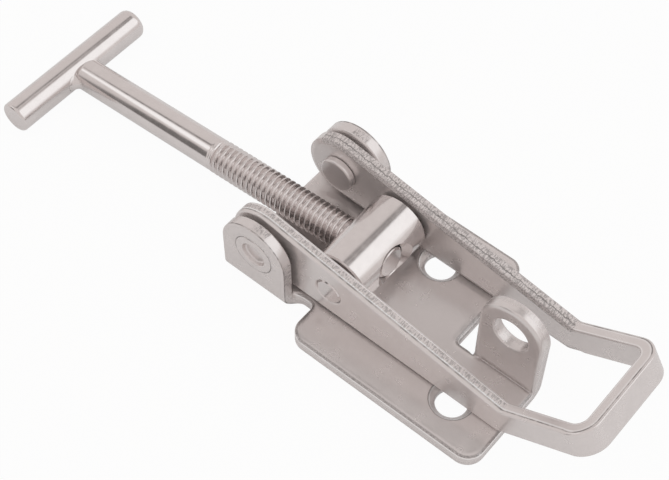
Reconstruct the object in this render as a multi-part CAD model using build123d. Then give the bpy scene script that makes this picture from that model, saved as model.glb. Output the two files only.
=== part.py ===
from build123d import *
import os
from math import acos, asin, atan2, cos, degrees, hypot, radians, sin

# Over centre toggle latch with a screwed T-bar hook and a padlock eye, in the closed position.
# X runs along the latch from the T-bar (-X) to the handle loop (+X), Y across it, Z up.
# The origin is under the trunnion's axis, on the centre line, on the base plate's mounting face.

# ---- driving dimensions, mm ----------------------------------------------------------------------

# stock
sheet = 3.0                    # thickness of the base plate and of the handle strip
bar_diameter = 7.94            # rolled thread of the rod, 5/16 inch
shank_diameter = 7.76          # plain part of the rod
cross_bar_diameter = 7.5       # round bar of the T

# places on the centre line
pivot_x = -17.25               # fixed pivot of the handle
pivot_z = 12.6
trunnion_x = 0.0               # moving pivot, carried by the handle arms
trunnion_z = 10.72
plate_front_x = 45.1           # front edge of the base plate, below the handle's crank

# handle: one strip on edge, bent into a U and cranked upwards at its loop
arm_inner_y = 11.0             # half the clear width between the arms
arm_end_radius = 8.5           # round end of the arms
arm_end_setback = 0.35         # its centre behind the fixed pivot
arm_floor_clearance = 0.15     # under the arms, where the closed handle meets the floor
crank_setback = 0.9            # from the plate's front edge to the turn in the arms' upper edge
crank_z = 10.65
crank_angle = 30.9             # degrees above the base
strip_width = 6.5              # of the cranked strip
crank_length = 21.5            # from the crank to the outer face of the loop
loop_inner_radius = 2.5        # inside bend of the loop's two corners
crank_top_radius = 1.6         # in the outline of the arms
crank_foot_radius = 2.0

# base plate: one sheet, with two ears and a padlock tab folded up from it
ear_width = 17.0
ear_gap = 1.0                  # between an ear and the arm inside it
ear_bend_radius = 0.5          # inside radius of the ears' folds
near_flange_width = 23.4       # from the centre line
far_flange_width = 22.6
flange_rear_x = -3.4
flange_corner_radius = 4.0
relief_corner_radius = 1.2     # in the notch between an ear and its flange
# foot of an ear's front edge, a fillet of 2.8 wrapped round the fold: degrees from the floor, spread
ear_foot = ((0, 2.3), (9, 1.5), (20, 0.9), (38, 0.3), (60, 0))

tab_width = 15.3
tab_face_y = -2.4              # near face of the tab
tab_eye_z = 18.2
tab_top_z = 26.2
tab_bend_radius = 0.2
tab_eye_radius = 4.25
tab_eye_edge = 0.4             # broken rim of the eye, on both faces
cut_out_gap = 4.3              # from the tab back to the cut edge of the plate's far half
cut_out_overrun = 0.3          # of the cut past the tab's fold
cut_out_outer_radius = 3.5
cut_out_inner_radius = 0.8

screw_hole_radius = 3.45
screw_sink_depth = 1.6         # of its countersink, at 90 degrees
near_screw_setback = 12.2      # from the plate's front edge
near_screw_inset = 9.6         # from the near flange's edge
far_screw_setback = 14.8       # from the cut edge
far_screw_inset = 11.1         # from the far flange's edge

# die roll on the punched side of the sheet's edges, a quarter ellipse in flat steps
roll_width = 1.6
roll_depth = 0.45
handle_roll_width = 0.5
handle_roll_depth = 0.2
roll_steps = (90, 68, 40, 0)   # degrees round the ellipse, from the edge to the face
edge_steps = (90, 45, 0)       # the same for the small rounded edges of the bars

# rivets of the fixed pivot
rivet_radius = 3.0
rivet_sink_radius = 5.2        # flush, filled countersink in the ear
rivet_sink_depth = 1.6
rivet_dish_radius = 3.4        # punched recess in the flush end
rivet_dish_floor_radius = 2.5
rivet_dish_depth = 0.8
rivet_head_radius = 4.3        # head inside the arm
rivet_head_height = 1.7
rivet_head_edge = 0.35
rivet_seam = 0.2               # groove round the flush end

# trunnion: a cross-drilled barrel with a stub through each arm
trunnion_radius = 7.0
trunnion_half_length = 10.2
trunnion_edge = 0.35
stub_radius = 3.1
stub_edge = 0.3
mouth_edge = 1.7               # countersink of the cross bore

# T-bar hook
cross_bar_length = 40.0
cross_bar_distance = 89.5      # from the trunnion's axis, along the rod
cross_bar_offset = -0.4        # of its middle from the rod's axis
cross_bar_near_edge = 0.7      # rounding of its ends
cross_bar_far_edge = 1.6
rod_front_reach = 5.8          # tip of the rod past the trunnion's axis
thread_reach = 44.5            # from the trunnion's axis back to the plain part
rod_tip_edge = 0.5
rod_lap = 3.3                  # how far the rod's end stops short of the cross bar's axis
rod_lap_edge = 1.0
near_weld_reach = 1.45         # bead beside the rod, on the near side
near_weld_length = 3.4         # along the rod, from the cross bar to the end of its slope
far_weld_reach = 0.6
far_weld_length = 2.6
weld_toe_height = 1.6          # of a bead's outer edge
weld_spread = 40               # degrees from the rod's top line to where a bead begins

# running clearances
pin_clearance = 0.05           # radial, of rivets and stubs in the arms
bore_clearance = 0.05          # radial, of the rod in the trunnion
head_clearance = 0.10          # under the rivets' inner heads
seat_clearance = 0.02          # between a rivet and its ear

# ---- dimensions that follow ----------------------------------------------------------------------

arm_outer_y = arm_inner_y + sheet
arm_end_x = pivot_x - arm_end_setback
ear_inner_y = arm_outer_y + ear_gap
ear_outer_y = ear_inner_y + sheet
ear_fold_y = ear_inner_y - ear_bend_radius
ear_fold_z = sheet + ear_bend_radius
ear_front_x = pivot_x + ear_width / 2
ear_rear_x = pivot_x - ear_width / 2

crank_x = plate_front_x - crank_setback

tab_rear_x = plate_front_x - tab_width
tab_middle_x = plate_front_x - tab_width / 2
tab_back_y = tab_face_y + sheet
tab_fold_y = tab_face_y - tab_bend_radius
tab_fold_z = sheet + tab_bend_radius
tab_round_z = tab_top_z - tab_width / 2
cut_out_y = tab_fold_y + cut_out_overrun
cut_out_x = tab_rear_x - cut_out_gap
near_screw = (plate_front_x - near_screw_setback, near_screw_inset - near_flange_width)
far_screw = (cut_out_x - far_screw_setback, far_flange_width - far_screw_inset)

rod_radius = bar_diameter / 2
shank_radius = shank_diameter / 2
cross_bar_radius = cross_bar_diameter / 2
# the cross bar rests on the mounting plane, so the rod droops towards it
rod_droop = asin((trunnion_z - cross_bar_radius) / cross_bar_distance)
rod_frame = Plane(
    origin=(trunnion_x, 0, trunnion_z),
    x_dir=(0, 1, 0),
    z_dir=(cos(rod_droop), 0, sin(rod_droop)),
)
rod_end_reach = cross_bar_distance - rod_lap
loop_outer_radius = loop_inner_radius + sheet
crank_straight = crank_length - loop_outer_radius
stub_end_y = arm_outer_y
rivet_face_y = ear_outer_y
rivet_head_y = arm_inner_y - head_clearance - rivet_head_height

fold_spare = 4.0               # sheet left past a fold line in a flat blank, then cut off
far_past = 200.0               # larger than the latch, for trimming
upwards = (Align.CENTER, Align.CENTER, Align.MIN)   # a solid that stands on its place


# ---- sheet metal ---------------------------------------------------------------------------------


def rounding(width, depth, steps):
    """Points of a quarter ellipse from an edge's wall up to its face, as (inset, drop)."""
    turns = [radians(step) for step in steps]
    return [(width * (1 - sin(turn)), depth * (1 - cos(turn))) for turn in turns]


def rolled_blank(outline, width, depth):
    """A sheet blank on the XY plane, with the die roll on every edge of its upper face."""
    blank = extrude(outline, sheet)
    points = rounding(width, depth, roll_steps)
    reached = 0
    for (inset, drop), (next_inset, next_drop) in zip(points, points[1:]):
        meets = inset + drop * (next_inset - inset) / (drop - next_drop)
        down = hypot(reached - inset, drop)
        upper = blank.faces().sort_by(Axis.Z)[-1]
        blank = chamfer(upper.edges(), meets - reached, down, reference=upper)
        reached = meets
    return blank


def rounded_at(outline, radius, places):
    """The outline with the corners at these places rounded."""
    for x, y in places:
        corner = outline.vertices().sort_by_distance((x, y, 0))[0]
        outline = fillet(corner, radius)
    return outline


def across(x, z, radius, y_from, y_to):
    """A round bar along Y, solid or as a hole's tool."""
    return Pos(x, (y_from + y_to) / 2, z) * Rot(90, 0, 0) * Cylinder(radius, y_to - y_from)


def above(solid, height):
    """The part of a solid above this height."""
    return solid & Pos(0, 0, height) * Box(far_past, far_past, far_past, align=upwards)


# ---- base plate ----------------------------------------------------------------------------------


def plate_outline():
    """Flat outline of the base plate, with spare sheet past its three fold lines."""
    ear_tongue_y = ear_fold_y + fold_spare
    tab_tongue_y = tab_fold_y + fold_spare
    near_rear = (flange_rear_x, -near_flange_width)
    near_front = (plate_front_x, -near_flange_width)
    far_rear = (flange_rear_x, far_flange_width)
    far_front = (cut_out_x, far_flange_width)
    cut_out_corner = (cut_out_x, cut_out_y)
    near_notch = (flange_rear_x, -ear_fold_y)
    far_notch = (flange_rear_x, ear_fold_y)
    corners = [
        (ear_rear_x, -ear_tongue_y),
        (ear_front_x, -ear_tongue_y),
        (ear_front_x, -ear_fold_y),
        near_notch,
        near_rear,
        near_front,
        (plate_front_x, tab_tongue_y),
        (tab_rear_x, tab_tongue_y),
        (tab_rear_x, cut_out_y),
        cut_out_corner,
        far_front,
        far_rear,
        far_notch,
        (ear_front_x, ear_fold_y),
        (ear_front_x, ear_tongue_y),
        (ear_rear_x, ear_tongue_y),
    ]
    outline = make_face(Polyline(*corners, close=True))
    outline = rounded_at(outline, flange_corner_radius, [near_rear, near_front, far_rear])
    outline = rounded_at(outline, cut_out_outer_radius, [far_front])
    outline = rounded_at(outline, cut_out_inner_radius, [cut_out_corner])
    return rounded_at(outline, relief_corner_radius, [near_notch, far_notch])


def screw_hole(x, y):
    """The tool of a countersunk screw hole through the floor."""
    sink = Cone(screw_hole_radius, screw_hole_radius + 2 * screw_sink_depth, 2 * screw_sink_depth, align=upwards)
    return Pos(x, y, 0) * Cylinder(screw_hole_radius, 4 * sheet) + Pos(x, y, sheet - screw_sink_depth) * sink


def upright_blank(width, foot, round_centre):
    """A flat strip along local Y with a full-round top, its upper face rolled."""
    strip = Pos(0, (foot + round_centre) / 2) * Rectangle(width, round_centre - foot)
    return rolled_blank(strip + Pos(0, round_centre) * Circle(width / 2), roll_width, roll_depth)


def tongue_end(flat, middle_x, width, fold_y, outward):
    """Trims a tongue of the flat plate at its fold line. Gives the plate and the cut face."""
    reach = 2 * fold_spare
    beyond = Pos(middle_x, fold_y + outward * fold_spare, 0) * Box(width, reach, 4 * sheet)
    before = Pos(middle_x, fold_y - outward * fold_spare, 0) * Box(width, reach, 4 * sheet)
    faces = (flat & before).faces().sort_by(Axis.Y)
    return flat - beyond, faces[0] if outward < 0 else faces[-1]


def ear_bend(end, side):
    """Bend at an ear's foot, from the cut face of the flat plate. side is +1 far, -1 near."""
    axis = Axis((0, side * ear_fold_y, ear_fold_z), (1, 0, 0))
    corners = [edge.position_at(0) for edge in end.outer_wire().order_edges()]
    sections = []
    for angle, spread in ear_foot:
        moved = [(x + spread if x > pivot_x else x, y, z) for x, y, z in corners]
        sections.append(make_face(Polyline(*moved, close=True)).rotate(axis, side * angle))
    bend = revolve(sections[-1], axis, side * (90 - ear_foot[-1][0]))
    for lower, upper in zip(sections, sections[1:]):
        bend += loft([lower, upper], ruled=True)
    return bend


def ear():
    """Upright part of the far ear, with the die roll on its inner face."""
    flat = upright_blank(ear_width, ear_fold_z - fold_spare, pivot_z)
    place = Plane(origin=(pivot_x, ear_outer_y, 0), x_dir=(1, 0, 0), z_dir=(0, -1, 0))
    sink_y = ear_outer_y - rivet_sink_depth
    sink = Cone(rivet_radius, rivet_sink_radius, rivet_sink_depth, align=upwards)
    upright = above(place * flat, ear_fold_z)
    hole_radius = rivet_radius + seat_clearance
    upright -= across(pivot_x, pivot_z, hole_radius, ear_inner_y - sheet, ear_outer_y + sheet)
    return upright - Pos(pivot_x, sink_y, pivot_z) * Rot(-90, 0, 0) * sink


def padlock_tab():
    """Upright part of the padlock tab, with the die roll on its near face and on its eye."""
    flat = upright_blank(tab_width, tab_fold_z - fold_spare, tab_round_z)
    place = Plane(origin=(tab_middle_x, tab_back_y, 0), x_dir=(1, 0, 0), z_dir=(0, -1, 0))
    upright = above(place * flat, tab_fold_z)
    upright -= across(tab_middle_x, tab_eye_z, tab_eye_radius, tab_face_y - sheet, tab_back_y + sheet)
    circles = upright.edges().filter_by(GeomType.CIRCLE)
    rims = [edge for edge in circles if abs(edge.radius - tab_eye_radius) < 1e-6]
    return chamfer(rims, tab_eye_edge)


def base_plate():
    """Base plate: floor, flanges, two ears and the padlock tab, all one folded sheet."""
    plate = rolled_blank(plate_outline(), roll_width, roll_depth)
    plate = plate - screw_hole(*near_screw) - screw_hole(*far_screw)
    far_ear = ear()
    for side, upright in ((-1, mirror(far_ear, about=Plane.XZ)), (1, far_ear)):
        plate, end = tongue_end(plate, pivot_x, ear_width, side * ear_fold_y, side)
        plate = plate + ear_bend(end, side) + upright
    plate, end = tongue_end(plate, tab_middle_x, tab_width, tab_fold_y, 1)
    bend = revolve(end, Axis((0, tab_fold_y, tab_fold_z), (1, 0, 0)), 90)
    return plate + bend + padlock_tab()


# ---- handle --------------------------------------------------------------------------------------


def tangent_touch(x, z, side):
    """Where a line from this point touches the arms' round end. side is +1 above, -1 below."""
    reach = hypot(x - arm_end_x, z - pivot_z)
    towards = atan2(z - pivot_z, x - arm_end_x)
    lean = towards + side * acos(arm_end_radius / reach)
    return (arm_end_x + arm_end_radius * cos(lean), pivot_z + arm_end_radius * sin(lean))


def arm_outline():
    """Outline of one arm and its cranked strip, as X and Z, with spare strip past the loop's bend."""
    turn = radians(crank_angle)
    strip_end = crank_straight + fold_spare
    foot_drop = strip_width * cos(turn)
    foot_z = sheet + arm_floor_clearance
    foot_slide = (crank_z - foot_drop - foot_z) / sin(turn)
    crank_top = (crank_x, crank_z)
    crank_foot = (crank_x + strip_width * sin(turn) - foot_slide * cos(turn), foot_z)
    strip_top = (crank_x + strip_end * cos(turn), crank_z + strip_end * sin(turn))
    strip_foot = (strip_top[0] + strip_width * sin(turn), strip_top[1] - foot_drop)
    upper_touch = tangent_touch(*crank_top, 1)
    lower_touch = tangent_touch(*crank_foot, -1)
    rear = (arm_end_x - arm_end_radius, pivot_z)
    edges = Polyline(upper_touch, crank_top, strip_top, strip_foot, crank_foot, lower_touch)
    edges += ThreePointArc(lower_touch, rear, upper_touch)
    outline = make_face(edges)
    outline = rounded_at(outline, crank_top_radius, [crank_top])
    return rounded_at(outline, crank_foot_radius, [crank_foot])


def handle():
    """Handle: one strip on edge, its two arms joined by the cranked loop."""
    turn = radians(crank_angle)
    flat = rolled_blank(arm_outline(), handle_roll_width, handle_roll_depth)
    arm = Plane(origin=(0, arm_outer_y, 0), x_dir=(1, 0, 0), z_dir=(0, -1, 0)) * flat
    bend_x = crank_x + crank_straight * cos(turn)
    bend_z = crank_z + crank_straight * sin(turn)
    spare = Plane(origin=(bend_x, 0, bend_z), x_dir=(0, 1, 0), z_dir=(cos(turn), 0, sin(turn)))
    arm -= spare * Box(far_past, far_past, far_past, align=upwards)
    strip_end = arm.faces().sort_by(Axis(spare.origin, spare.z_dir))[-1]
    bend_axis = Axis((bend_x, arm_inner_y - loop_inner_radius, bend_z), (-sin(turn), 0, cos(turn)))
    corner = revolve(strip_end, bend_axis, -90)
    corner_end = corner.faces().sort_by(Axis.Y)[0]
    bar = extrude(corner_end, arm_inner_y - loop_inner_radius)
    half = arm + corner + bar
    for x, z, radius in ((pivot_x, pivot_z, rivet_radius), (trunnion_x, trunnion_z, stub_radius)):
        half -= across(x, z, radius + pin_clearance, arm_inner_y - sheet, arm_outer_y + sheet)
    return half + mirror(half, about=Plane.XZ)


# ---- turned pieces -------------------------------------------------------------------------------


def turned(profile, x, z):
    """A turned piece about an axis along Y. The profile is a list of (radius, y)."""
    return Pos(x, 0, z) * revolve(make_face(Polyline(*profile, close=True)), Axis.Y)


def pivot_rivet():
    """Far rivet of the fixed pivot: head inside the arm, shank, and flush end in the ear."""
    sink_slope = (rivet_sink_radius - rivet_radius) / rivet_sink_depth
    seam_radius = rivet_sink_radius - rivet_seam * sink_slope - seat_clearance
    profile = [
        (0, rivet_head_y),
        (rivet_head_radius - rivet_head_edge, rivet_head_y),
        (rivet_head_radius, rivet_head_y + rivet_head_edge),
        (rivet_head_radius, rivet_head_y + rivet_head_height),
        (rivet_radius, rivet_head_y + rivet_head_height),
        (rivet_radius, rivet_face_y - rivet_sink_depth + seat_clearance),
        (seam_radius, rivet_face_y - rivet_seam),
        (seam_radius - rivet_seam, rivet_face_y),
        (rivet_dish_radius, rivet_face_y),
        (rivet_dish_floor_radius, rivet_face_y - rivet_dish_depth),
        (0, rivet_face_y - rivet_dish_depth),
    ]
    return turned(profile, pivot_x, pivot_z)


def rod_bar(radius, s_from, s_to):
    """A round bar along the rod's axis between two distances from the trunnion's axis."""
    bar = Cylinder(radius, s_to - s_from, align=upwards)
    return rod_frame * Pos(0, 0, s_from) * bar


def trunnion():
    """Trunnion: barrel with a stub through each arm, cross-drilled for the rod."""
    half = [
        (0, stub_end_y),
        (stub_radius - stub_edge, stub_end_y),
        (stub_radius, stub_end_y - stub_edge),
        (stub_radius, trunnion_half_length),
        (trunnion_radius - trunnion_edge, trunnion_half_length),
        (trunnion_radius, trunnion_half_length - trunnion_edge),
    ]
    profile = half + [(radius, -y) for radius, y in reversed(half)]
    barrel = turned(profile, trunnion_x, trunnion_z)
    bore_radius = rod_radius + bore_clearance
    barrel -= rod_bar(bore_radius, -2 * trunnion_radius, 2 * trunnion_radius)
    mouth = Cone(bore_radius, bore_radius + 2 * mouth_edge, 2 * mouth_edge, align=upwards)
    for facing in (0, 180):
        barrel -= rod_frame * Rot(facing, 0, 0) * Pos(0, 0, trunnion_radius - mouth_edge) * mouth
    return barrel


# ---- T-bar hook ----------------------------------------------------------------------------------


def cross_bar():
    """Round bar of the T, with rounded ends."""
    half_length = cross_bar_length / 2
    far_edge = rounding(cross_bar_far_edge, cross_bar_far_edge, edge_steps)
    near_edge = rounding(cross_bar_near_edge, cross_bar_near_edge, edge_steps)
    far_y, near_y = cross_bar_offset + half_length, cross_bar_offset - half_length
    profile = [(0, far_y)]
    profile += [(cross_bar_radius - drop, far_y - inset) for drop, inset in reversed(far_edge)]
    profile += [(cross_bar_radius - drop, near_y + inset) for drop, inset in near_edge]
    profile += [(0, near_y)]
    centre = rod_frame * Pos(0, 0, -cross_bar_distance)
    return turned(profile, centre.position.X, centre.position.Z)


def threaded_rod(bar):
    """Screwed rod, its thread at the major diameter, its end saddled and lapped over the cross bar."""
    end = rounding(rod_lap_edge, rod_lap_edge, edge_steps)
    profile = [(0, -rod_end_reach)]
    profile += [(shank_radius - inset, drop - rod_end_reach) for inset, drop in reversed(end)]
    profile += [(shank_radius, -thread_reach), (rod_radius, -thread_reach + rod_radius - shank_radius)]
    profile += [(rod_radius, rod_front_reach - rod_tip_edge)]
    profile += [(rod_radius - rod_tip_edge, rod_front_reach), (0, rod_front_reach)]
    rod = revolve(Rot(90, 0, 0) * make_face(Polyline(*profile, close=True)), Axis.Z)
    return rod_frame * rod - bar


def weld_bead(reach, length):
    """One bead on the rod's local +X side, which slopes to the rod above, below and along it."""
    edge_x = shank_radius * sin(radians(weld_spread))
    edge_y = shank_radius * cos(radians(weld_spread))
    toe_x, toe_y = shank_radius + reach, weld_toe_height / 2
    back = -cross_bar_distance
    root = back + cross_bar_radius
    plan = [(0, back), (toe_x, back), (toe_x, root), (edge_x, root + length), (0, root + length)]
    front = [(0, -edge_y), (edge_x, -edge_y), (toe_x, -toe_y), (toe_x, toe_y), (edge_x, edge_y), (0, edge_y)]
    along = Rot(90, 0, 0) * extrude(make_face(Polyline(*plan, close=True)), shank_radius, both=True)
    across_rod = Pos(0, 0, back) * extrude(make_face(Polyline(*front, close=True)), 2 * cross_bar_radius)
    return along & across_rod


def weld(rod, bar):
    """Weld: a bead on each side of the rod where it meets the cross bar."""
    far_bead = weld_bead(far_weld_reach, far_weld_length)
    near_bead = mirror(weld_bead(near_weld_reach, near_weld_length), about=Plane.YZ)
    return rod_frame * (far_bead + near_bead) - rod - bar


def pieces():
    """Every node of the latch by name."""
    far_rivet = pivot_rivet()
    bar = cross_bar()
    rod = threaded_rod(bar)
    return {
        "base_plate": base_plate(),
        "handle": handle(),
        "pivot_rivet_near": mirror(far_rivet, about=Plane.XZ),
        "pivot_rivet_far": far_rivet,
        "trunnion": trunnion(),
        "threaded_rod": rod,
        "t_crossbar": bar,
        "t_weld": weld(rod, bar),
    }


os.makedirs("parts", exist_ok=True)
for name, shape in pieces().items():
    export_step(shape, f"parts/{name}.step")
    print(name, "solids", len(shape.solids()), "volume", round(shape.volume, 1))
print("rod droop", round(degrees(rod_droop), 3), "degrees")
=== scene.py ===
"""Dresses the over centre toggle latch: folded sheet, turned pins, screwed rod, and the studio round them."""

import logging
import math
from abc import ABC, abstractmethod
from dataclasses import dataclass
from enum import Enum
from typing import Callable, Iterable, Sequence

import bmesh
import bpy
import numpy as np
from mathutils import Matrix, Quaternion, Vector
from mathutils.geometry import delaunay_2d_cdt


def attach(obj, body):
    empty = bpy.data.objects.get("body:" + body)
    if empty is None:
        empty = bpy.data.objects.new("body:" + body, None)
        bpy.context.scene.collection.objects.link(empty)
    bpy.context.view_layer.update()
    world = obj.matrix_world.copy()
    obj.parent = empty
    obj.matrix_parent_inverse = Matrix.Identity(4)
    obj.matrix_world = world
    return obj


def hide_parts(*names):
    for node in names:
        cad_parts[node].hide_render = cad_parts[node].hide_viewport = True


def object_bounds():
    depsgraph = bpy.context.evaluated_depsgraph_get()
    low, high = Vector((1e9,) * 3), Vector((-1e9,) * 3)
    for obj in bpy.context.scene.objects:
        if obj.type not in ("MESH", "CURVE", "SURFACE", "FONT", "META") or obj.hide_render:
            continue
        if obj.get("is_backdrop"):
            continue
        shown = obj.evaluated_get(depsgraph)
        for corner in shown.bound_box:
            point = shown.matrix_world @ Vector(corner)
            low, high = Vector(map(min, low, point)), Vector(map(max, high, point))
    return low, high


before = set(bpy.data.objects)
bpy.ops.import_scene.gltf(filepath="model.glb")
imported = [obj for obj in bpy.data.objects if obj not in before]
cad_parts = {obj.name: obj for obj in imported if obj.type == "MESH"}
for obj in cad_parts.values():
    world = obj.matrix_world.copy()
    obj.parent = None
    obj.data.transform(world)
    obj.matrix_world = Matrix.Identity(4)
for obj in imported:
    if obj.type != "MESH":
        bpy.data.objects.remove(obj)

LOG = logging.getLogger("latch")
MM = 0.001
SEED_CLEARANCE = 0.45  # mm between a blank's edge and the nearest inner vertex
SHORTEST_RUN = 1e-3  # mm between two roundings of an outline, below which they meet
SMALLEST_RADIUS = 0.01  # mm, of a corner that an inset has used up
TOUCH = 0.01  # mm, within which two places count as one
SHEET = 3.0  # mm, the thickness of both folded pieces
PIVOT = (-17.25, 12.6)  # mm, x and z of the fixed pivot
TRUNNION = (0.0, 10.72)  # mm, x and z of the barrel's axis
ROD_AXIS = (0.99696, 0.0, 0.07788)
BAR_AXIS = (0.0, 1.0, 0.0)

Point = tuple[float, float]
Colour = tuple[float, float, float]
Corners = tuple[Point, Point]
Place = Callable[[float, float, float], Vector]
Mesh, Material, Node, Socket = bpy.types.Mesh, bpy.types.Material, bpy.types.Node, bpy.types.NodeSocket


def smooth_step(value: float) -> float:
    """Eases a value from 0 to 1, held outside that range."""
    value = min(max(value, 0.0), 1.0)
    return value * value * (3.0 - 2.0 * value)


def ease(value: float, start: float, length: float) -> float:
    """Eases from 0 to 1 over a length from a start."""
    return smooth_step((value - start) / length)


def quarter_round(width: float, height: float, steps: int) -> list[Point]:
    """Points of a quarter ellipse from a wall up to a face.

    Args:
        width: How far it reaches in over the face.
        height: How far it reaches down the wall.
        steps: How many flats it is cut into.

    Returns:
        Pairs of inset and drop below the face, from the wall to the face.
    """
    turns = [math.pi / 2 * step / steps for step in range(steps + 1)]
    return [(width * (1 - math.cos(turn)), height * (1 - math.sin(turn))) for turn in turns]


class Slot(Enum):
    """The record's material slots."""

    SHEET = "satin_sheet"
    TURNED = "turned_steel"
    BAR = "drawn_bar"
    WELD = "weld_steel"


# ---- mesh builders ---------------------------------------------------------------------------------


@dataclass(frozen=True)
class Corner:
    """A corner of a flat outline, in mm, and the radius that rounds it."""

    x: float
    y: float
    radius: float = 0.05


def closed_mesh(name: str, points: Iterable[Vector], faces: Sequence[Sequence[int]]) -> Mesh:
    """Makes a closed mesh whose faces all look outwards.

    Args:
        name: The mesh's name.
        points: Its vertices, in mm.
        faces: The corners of each face.

    Returns:
        The mesh, in metres.
    """
    mesh = bpy.data.meshes.new(name)
    mesh.from_pydata([point * MM for point in points], [], faces)
    work = bmesh.new()
    work.from_mesh(mesh)
    bmesh.ops.recalc_face_normals(work, faces=work.faces)
    work.to_mesh(mesh)
    work.free()
    return mesh


def band(low: Sequence[int], high: Sequence[int]) -> list[tuple[int, ...]]:
    """The faces between two rings of vertices that have as many as each other."""
    around = len(low)
    return [(low[i], low[(i + 1) % around], high[(i + 1) % around], high[i]) for i in range(around)]


def rounded_line(corners: Sequence[Corner], steps: int = 5, support: float = 0.12) -> list[Point]:
    """An open line with its inner corners rounded, and a point on each side that keeps the runs flat.

    Args:
        corners: The line's corners with their radii, in mm.
        steps: How many flats each rounding gets.
        support: How far the extra points stand from a rounding.

    Returns:
        The line's points.
    """
    places = [Vector((corner.x, corner.y)) for corner in corners]
    points = [places[0]]
    for before, place, after, corner in zip(places, places[1:], places[2:], corners[1:]):
        way_in, way_out = (place - before).normalized(), (after - place).normalized()
        turn = math.atan2(way_in.cross(way_out), way_in.dot(way_out))
        reach = corner.radius * math.tan(abs(turn) / 2)
        start, end = place - way_in * reach, place + way_out * reach
        centre = start + Vector((-way_in.y, way_in.x)) * math.copysign(corner.radius, turn)
        spoke = start - centre
        points.append(start - way_in * min(support, (start - points[-1]).length / 2))
        for step in range(steps + 1):
            angle = turn * step / steps
            c, s = math.cos(angle), math.sin(angle)
            points.append(centre + Vector((spoke.x * c - spoke.y * s, spoke.x * s + spoke.y * c)))
        points.append(end + way_out * min(support, (after - end).length / 3))
    points.append(places[-1])
    return [(point.x, point.y) for point in points]


def scene_object(name: str, data: bpy.types.ID) -> bpy.types.Object:
    """Puts a mesh or a camera into the scene.

    Args:
        name: The object's name.
        data: Its mesh or camera data.

    Returns:
        The new object.
    """
    made = bpy.data.objects.new(name, data)
    bpy.context.scene.collection.objects.link(made)
    return made


def finished_object(name: str, mesh: Mesh, material: Material) -> bpy.types.Object:
    """Puts a smooth-shaded mesh with one material into the scene.

    Args:
        name: The piece's name.
        mesh: Its mesh, in metres.
        material: Its finish.

    Returns:
        The new object.
    """
    mesh.polygons.foreach_set("use_smooth", [True] * len(mesh.polygons))
    mesh.materials.append(material)
    return scene_object(name, mesh)


class Loop(ABC):
    """A closed edge of a flat blank."""

    @abstractmethod
    def ring(self, inset: float) -> list[Point]:
        """The edge moved into the sheet by a distance, always with as many points."""


class Outline(Loop):
    """The outer edge of a blank: straight runs with rounded corners, counterclockwise."""

    def __init__(self, corners: Sequence[Corner], spacing: float) -> None:
        """Works out each corner's turn and how many points every stretch gets.

        Args:
            corners: The corners before rounding.
            spacing: The longest step between two points, in mm.
        """
        self.corners = list(corners)
        places = [Vector((corner.x, corner.y)) for corner in corners]
        count = len(places)
        self.ways = [(places[(i + 1) % count] - places[i]).normalized() for i in range(count)]
        arcs = [self._arc_ends(i, 0.0) for i in range(count)]
        self.arc_steps = [
            max(3, math.ceil(abs(turn) * radius / spacing)) for _, _, _, radius, turn in arcs
        ]
        self.run_steps = []
        for i in range(count):
            run = (arcs[(i + 1) % count][0] - arcs[i][1]).length
            self.run_steps.append(math.ceil(run / spacing) if run > SHORTEST_RUN else 0)

    def _arc_ends(self, i: int, inset: float) -> tuple[Vector, Vector, Vector, float, float]:
        """Where the rounding of a corner starts and ends once the edge is moved in.

        Args:
            i: The corner's number.
            inset: How far the edge is moved into the sheet.

        Returns:
            The arc's start, its end, its centre, its radius and its signed turn.
        """
        corner, way_in, way_out = self.corners[i], self.ways[i - 1], self.ways[i]
        side_in = Vector((-way_in.y, way_in.x))
        side_out = Vector((-way_out.y, way_out.x))
        turn = math.atan2(way_in.cross(way_out), way_in.dot(way_out))
        shift = (side_in + side_out) * (inset / (1 + side_in.dot(side_out)))
        moved = Vector((corner.x, corner.y)) + shift
        radius = max(corner.radius - math.copysign(inset, turn), SMALLEST_RADIUS)
        reach = radius * math.tan(abs(turn) / 2)
        start = moved - way_in * reach
        centre = start + side_in * math.copysign(radius, turn)
        return start, moved + way_out * reach, centre, radius, turn

    def ring(self, inset: float) -> list[Point]:
        """The outline moved into the sheet by a distance.

        Args:
            inset: The distance, in mm.

        Returns:
            The moved outline's points.
        """
        count = len(self.corners)
        arcs = [self._arc_ends(i, inset) for i in range(count)]
        points: list[Point] = []
        for i, (start, end, centre, _, turn) in enumerate(arcs):
            spoke = start - centre
            steps = self.arc_steps[i]
            last = steps + 1 if self.run_steps[i] else steps
            for step in range(last):
                angle = turn * step / steps
                c, s = math.cos(angle), math.sin(angle)
                points.append((centre.x + spoke.x * c - spoke.y * s, centre.y + spoke.x * s + spoke.y * c))
            following = arcs[(i + 1) % count][0]
            for step in range(1, self.run_steps[i]):
                middle = end.lerp(following, step / self.run_steps[i])
                points.append((middle.x, middle.y))
        return points


@dataclass(frozen=True)
class Hole(Loop):
    """A round hole in a blank, in mm."""

    x: float
    y: float
    radius: float
    steps: int = 72

    def ring(self, inset: float) -> list[Point]:
        """The hole's edge moved into the sheet by a distance, clockwise.

        Args:
            inset: The distance, in mm.

        Returns:
            The moved edge's points.
        """
        turns = [-2 * math.pi * step / self.steps for step in range(self.steps)]
        radius = self.radius + inset
        return [(self.x + radius * math.cos(turn), self.y + radius * math.sin(turn)) for turn in turns]


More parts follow.
